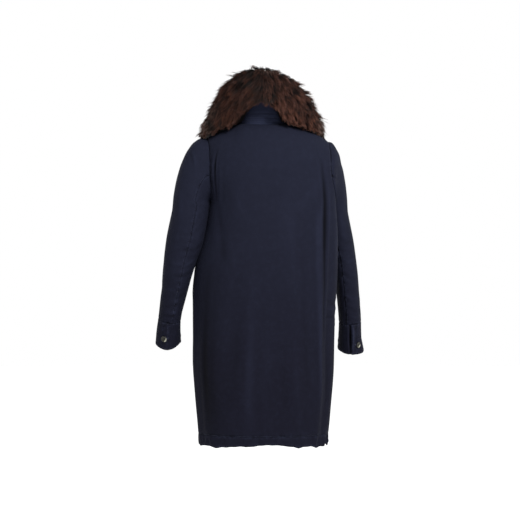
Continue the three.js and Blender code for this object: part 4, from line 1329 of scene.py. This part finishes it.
def rim_of(node):
    """The rim of a piece in order: each point, the way into the cloth there, and the normal."""
    skin = bmesh.new()
    skin.from_mesh(skins[node])
    skin.normal_update()
    rim = dict.fromkeys(v for v in skin.verts if v.is_boundary)
    loops = []
    while rim:
        vert, _ = rim.popitem()
        loop = [vert]
        while True:
            ahead = [edge.other_vert(vert) for edge in vert.link_edges if edge.is_boundary]
            ahead = [other for other in ahead if other in rim]
            if not ahead:
                break
            vert = ahead[0]
            del rim[vert]
            loop.append(vert)
        rows = []
        for v in loop:
            inward = sum((f.calc_center_median() - v.co for f in v.link_faces), Vector()).normalized()
            rows.append((*v.co, *inward, *v.normal))
        loops.append(np.array(rows + rows[:1]))
    skin.free()
    return loops


def sew(points, normals, way=None, pitch=STITCH_PITCH):
    """Adds stitches at equal steps along a line, or across it if a way is given."""
    runs = runs_of(points)
    places = np.arange(pitch / 2, runs[-1], pitch)
    if len(places) == 0:
        return
    middle, normal = at_runs(places, runs, points), at_runs(places, runs, normals)
    if way is None:
        ahead = at_runs(places + pitch / 4, runs, points) - middle
    else:
        ahead = np.tile(way, (len(middle), 1))
    ahead /= np.maximum(np.linalg.norm(ahead, axis=1, keepdims=True), 1e-9)
    side = np.cross(normal, ahead)
    side /= np.maximum(np.linalg.norm(side, axis=1, keepdims=True), 1e-9)
    axes = np.stack([ahead, side, np.cross(ahead, side)], 1) * np.array(STITCH)[None, :, None]
    stitch_points.append(middle[:, None] + np.einsum("ij,njk->nik", SPINDLE, axes))


rims = {node: rim_of(node) for node in skins}
rim_trees = {}
for node, loops in rims.items():
    rim_trees[node] = KDTree(sum(len(loop) for loop in loops))
    for index, row in enumerate(np.vstack(loops)):
        rim_trees[node].insert(row[:3], index)
    rim_trees[node].balance()


def sew_row(node, beside, inset):
    """Stitches along a piece's rim beside these pieces, or along its free edges if none is named."""
    others = [n for n in rims if n != node and (not beside or n in beside)]
    for loop in rims[node]:
        away = np.array([min(rim_trees[n].find(row[:3])[2] for n in others) for row in loop])
        chosen = away < SEAM_REACH if beside else away > SEAM_REACH
        cuts = np.flatnonzero(np.diff(chosen.astype(int))) + 1
        for part in np.split(np.arange(len(loop)), cuts):
            if chosen[part[0]] and len(part) > 4:
                rows = loop[part[1:-1]]
                lifted = rows[:, :3] + rows[:, 3:6] * inset * MM + rows[:, 6:] * STITCH_LIFT * MM
                sew(lifted, rows[:, 6:])


FRONTS = ["front_left", "front_right"]
sew_row("back", ["hem_back"], 3)
sew_row("back", FRONTS, 4)
for side in ("left", "right"):
    parts = [f"sleeve_{side}_upper", f"sleeve_{side}_under"]
    sew_row("back", parts, 4)
    sew_row(f"front_{side}", parts, 4)
    sew_row(f"front_{side}", [f"hem_front_{side}"], 3)
    sew_row(f"front_{side}", [], 6)
    sew_row(parts[0], parts[1:], 3)
    sew_row(f"cuff_{side}", parts, 3)
    sew_row(f"cuff_{side}", [], 5)


def stitches_round(node, height):
    """A level row of stitches all round a piece."""
    points, normals = [], []
    for angle in np.radians(np.arange(-168, 168.1, 1.0)):
        outward = Vector((math.sin(angle), -math.cos(angle), 0))
        start = outward * 0.4 + Vector((0, 0, height))
        hit, normal, _, _ = cloth_trees[node].ray_cast(start, -outward)
        if hit is not None:
            points.append(hit)
            normals.append(normal)
    sew(np.array(points), np.array(normals))


for row in (*STAND_ROWS, 2.5):
    stitches_round("collar_stand", row * MM)
print("stitches:", sum(len(p) for p in stitch_points))

# %% [markdown]
# The buttons are turned from dark horn, with a raised rim, a dished face and four holes,
# and each is sewn on with a cross of thread. One is made for the cuffs and one for the
# front. Their place and tilt come from the CAD buttons. A pale crescent on one side of the
# rim is a painted highlight, and it follows the button's own face, through a map of where
# each point lies on it.

# %% Horn and thread
def horn_finish(name):
    """Brown horn with a painted highlight, a pale crescent along one side of the rim."""
    material, net = start_material(name)
    place = net.node("UVMap", {"uv_map": "face"})
    grain = net.node("TexNoise", Vector=place, Scale=160.0, Detail=4.0, Distortion=1.2)
    x = net.node("SeparateXYZ", output="X", Vector=place)
    y = net.node("SeparateXYZ", output="Y", Vector=place)
    # Painted highlight: a pale crescent on the lower right of the rim.
    painted_rim_highlight = (x * 0.8 - y * 0.6 + grain * 0.002).rise(4.6 * MM, 7.4 * MM)
    colour = net.mix(grain.rise(0.35, 0.65), "0a0905", "1a1a0f")
    colour = net.mix(painted_rim_highlight * 0.85, colour, "8a8a7c")
    finish_material(
        net, Base_Color=colour, Roughness=0.35, Specular_IOR_Level=0.2,
        Coat_Weight=0.1, Coat_Roughness=0.2)
    return material


def thread_finish(name):
    """Twisted navy thread, for the stitches."""
    material, net = start_material(name)
    place = net.node("TexCoord", output="Object")
    twist = net.node("TexNoise", Vector=place, Scale=1400.0, Detail=2.0)
    colour = net.mix(twist.rise(0.35, 0.65), "1a1c2b", "33364a")
    bump = net.node("Bump", Height=twist, Strength=0.4, Distance=0.2 * MM)
    finish_material(net, Base_Color=colour, Roughness=0.7, Normal=bump, Specular_IOR_Level=0.25)
    return material


dark_horn = horn_finish("dark_horn")
navy_thread = thread_finish("navy_thread")

# %% Buttons
BUTTON_PROFILE = [
    (0, -0.5), (0.6, -0.5), (0.86, -0.32), (0.97, -0.08), (1, 0.14), (0.985, 0.34), (0.93, 0.46), (0.86, 0.5),
    (0.79, 0.45), (0.7, 0.3), (0.56, 0.2), (0.3, 0.17), (0, 0.16),
]
BUTTON_STEPS = 48


def button_mesh(name, radius, depth):
    """A turned button with four holes and its thread. Its face looks along +Z."""
    turned = bmesh.new()
    verts = [turned.verts.new((r * radius, 0, z * depth)) for r, z in BUTTON_PROFILE]
    edges = [turned.edges.new(pair) for pair in zip(verts, verts[1:])]
    bmesh.ops.spin(
        turned, geom=verts + edges, cent=(0, 0, 0), axis=(0, 0, 1),
        angle=2 * math.pi, steps=BUTTON_STEPS, use_merge=True)
    bmesh.ops.remove_doubles(turned, verts=turned.verts, dist=0.01 * MM)
    bmesh.ops.recalc_face_normals(turned, faces=turned.faces)
    body = bpy.data.meshes.new(name)
    turned.to_mesh(body)
    turned.free()
    drill = bmesh.new()
    spread, hole = radius * 0.22, radius * 0.1
    for x, y in ((1, 1), (1, -1), (-1, 1), (-1, -1)):
        bmesh.ops.create_cone(
            drill, cap_ends=True, segments=16, radius1=hole, radius2=hole, depth=3 * depth,
            matrix=Matrix.Translation((x * spread, y * spread, 0)))
    bits = bpy.data.meshes.new(name + "_drill")
    drill.to_mesh(bits)
    drill.free()
    solid, cutter = bpy.data.objects.new(name, body), bpy.data.objects.new(name + "_drill", bits)
    for thing in (solid, cutter):
        bpy.context.collection.objects.link(thing)
    cut = solid.modifiers.new("holes", "BOOLEAN")
    cut.operation, cut.solver, cut.object = "DIFFERENCE", "EXACT", cutter
    result = bpy.data.meshes.new_from_object(solid.evaluated_get(bpy.context.evaluated_depsgraph_get()))
    for thing in (solid, cutter):
        bpy.data.objects.remove(thing)
    sewn = bmesh.new()
    sewn.from_mesh(result)
    for face in sewn.faces:
        face.smooth = abs(face.normal.z) < 0.999
    for turn in (45, 135):
        bar = bmesh.ops.create_cube(sewn, size=1)["verts"]
        place = Matrix.Translation((0, 0, 0.2 * depth)) @ Matrix.Rotation(math.radians(turn), 4, "Z")
        size = Matrix.Diagonal((2.9 * spread, 1.1 * MM, 0.9 * MM, 1))
        bmesh.ops.transform(sewn, verts=bar, matrix=place @ size)
        sides = dict.fromkeys(edge for v in bar for edge in v.link_edges)
        rounded = bmesh.ops.bevel(
            sewn, geom=list(sides), offset=0.3 * MM, offset_type="OFFSET", segments=2,
            profile=0.5, affect="EDGES", material=-1)
        for vert in rounded["verts"] + [v for v in bar if v.is_valid]:
            for face in vert.link_faces:
                face.material_index = 1
    sewn.to_mesh(result)
    sewn.free()
    corners = [result.vertices[loop.vertex_index].co for loop in result.loops]
    result.uv_layers.new(name="face").uv.foreach_set("vector", [v for corner in corners for v in corner[:2]])
    result.materials.clear()
    result.materials.append(dark_horn)
    result.materials.append(navy_thread)
    return result


button_meshes = {"cuff": button_mesh("cuff_button_shape", 9 * MM, 3.6 * MM),
                 "front": button_mesh("front_button_shape", 12 * MM, 3.6 * MM)}
print("faces of a button:", len(button_meshes["cuff"].polygons))

# %% [markdown]
# A button faces the way its CAD button does, which is the direction in which that one is
# thinnest, turned away from the cloth. Both edges of its buttonhole are worked with close
# stitches, each laid where a ray from in front of the button meets the cloth.

# %% Buttons in place
BUTTONHOLE = {"cuff": 11.5 * MM, "front": 15 * MM}
BUTTONHOLE_EDGE = 1.2


def button_axes(node):
    """The middle of a CAD button, with its right, its up and its face."""
    points = np.array([v.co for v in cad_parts[node].data.vertices], float)
    middle = (points.max(0) + points.min(0)) / 2
    face = Vector(np.linalg.svd(points - points.mean(0))[2][2])
    found = [tree.find_nearest(Vector(middle)) for tree in cloth_trees.values()]
    if face.dot(min(found, key=lambda hit: hit[3])[1]) < 0:
        face = -face
    up = (Vector((0, 0, 1)) - face * face.z).normalized()
    return middle, up.cross(face), up, face


def sew_buttonhole(middle, right, up, face, half):
    """Stitches along both edges of a level buttonhole of this half length."""
    for side in (-1, 1):
        row, normals = [], []
        for run in np.linspace(-half, half, 25):
            start = Vector(middle) + right * run + up * side * BUTTONHOLE_EDGE * MM + face * 12 * MM
            hits = [tree.ray_cast(start, -face, 0.03) for tree in cloth_trees.values()]
            hits = [hit for hit in hits if hit[0] is not None]
            if hits:
                hit = min(hits, key=lambda found: found[3])
                row.append(hit[0])
                normals.append(hit[1])
        if len(row) > 2:
            sew(np.array(row), np.array(normals), way=np.array(up), pitch=1.0 * MM)


buttons = {"cuff_button_left": "cuff", "cuff_button_right": "cuff"}
buttons.update({f"front_button_{k}": "front" for k in range(1, 6)})
for node, kind in buttons.items():
    middle, right, up, face = button_axes(node)
    mesh = button_meshes[kind].copy()
    mesh.transform(Matrix.Translation(middle) @ Matrix((right, up, face)).transposed().to_4x4())
    add_piece(node + "_horn", mesh, node)
    sew_buttonhole(middle, right, up, face, BUTTONHOLE[kind])
    print(node, "at", (middle / MM).round(1).tolist())

# %% Stitch mesh
spindles = np.concatenate(stitch_points)
stitch_data = bpy.data.meshes.new("stitches")
faces = SPINDLE_FACES[None] + 6 * np.arange(len(spindles))[:, None, None]
stitch_data.from_pydata(spindles.reshape(-1, 3), [], faces.reshape(-1, 3))
stitch_data.shade_smooth()
stitch_data.materials.append(navy_thread)
stitches = bpy.data.objects.new("stitches", stitch_data)
bpy.context.collection.objects.link(stitches)
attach(stitches, "root")
print("stitches:", len(spindles), "triangles", len(stitch_data.polygons))

# %% [markdown]
# Each cloth piece was cut flat before it was sewn. Its length is measured down its own
# middle and its width round it at the widest level. The bands of the hem, cuffs and stand
# are plain strips, so their width follows from their area.

# %% Flat sizes of the cloth
MAPS = {f"{part}_{side}": arm_map(side) for part in ("sleeve", "cuff") for side in ("left", "right")}
SEWN_TO = {
    "back": ["collar_stand", "front_left", "front_right"],
    "front_left": ["collar_stand", "back"],
    "front_right": ["collar_stand", "back"],
    "hem_back": ["back"],
    "hem_front_left": ["front_left"],
    "hem_front_right": ["front_right"],
    "collar_stand": ["back", "front_left", "front_right"],
}
for side in ("left", "right"):
    for part in ("upper", "under"):
        SEWN_TO[f"sleeve_{side}_{part}"] = ["back", f"front_{side}"]
for side in ("left", "right"):
    SEWN_TO[f"cuff_{side}"] = [f"sleeve_{side}_upper", f"sleeve_{side}_under"]
STRIPS = ("hem", "cuff", "collar")
ARMHOLE_FOOT = -0.27
LEVEL_STEP = 12 * MM


def line_length(points, value, step):
    """The length of a line through points that are sorted and evened out by a value."""
    bins = np.round(value / step).astype(int)
    middles = np.array([points[bins == b].mean(0) for b in np.unique(bins)])
    return np.linalg.norm(np.diff(middles, axis=0), axis=1).sum()


def flat_size(node):
    """Width and length of the rectangle that a piece is cut from, in metres."""
    points = np.array([v.co for v in skins[node].vertices], float)
    to_map = next((m for start, m in MAPS.items() if node.startswith(start)), body_map)
    angle, height, _ = to_map(points)
    mean = math.degrees(math.atan2(np.sin(np.radians(angle)).mean(), np.cos(np.radians(angle)).mean()))
    angle = (angle - mean + 180) % 360 - 180
    column = np.abs(angle) < 6
    if node.startswith(STRIPS):
        length = np.ptp(height[column]) + 2 * MM
        return flat_areas[node] / length, length
    length = line_length(points[column], height[column], LEVEL_STEP) + LEVEL_STEP
    widths = []
    top = min(height.max(), ARMHOLE_FOOT) if node.startswith("sleeve") else height.max()
    for level in np.arange(height.min() + 8 * MM, top - 8 * MM, LEVEL_STEP):
        band = np.abs(height - level) < 7 * MM
        widths.append(line_length(points[band] * (1, 1, 0), angle[band], 5) + 6 * MM)
    return max(max(widths), flat_areas[node] / length), length


for node, neighbours in SEWN_TO.items():
    width, length = flat_size(node)
    print(node, "cut", round(width / MM), "x", round(length / MM), "mm, area", round(flat_areas[node], 3))
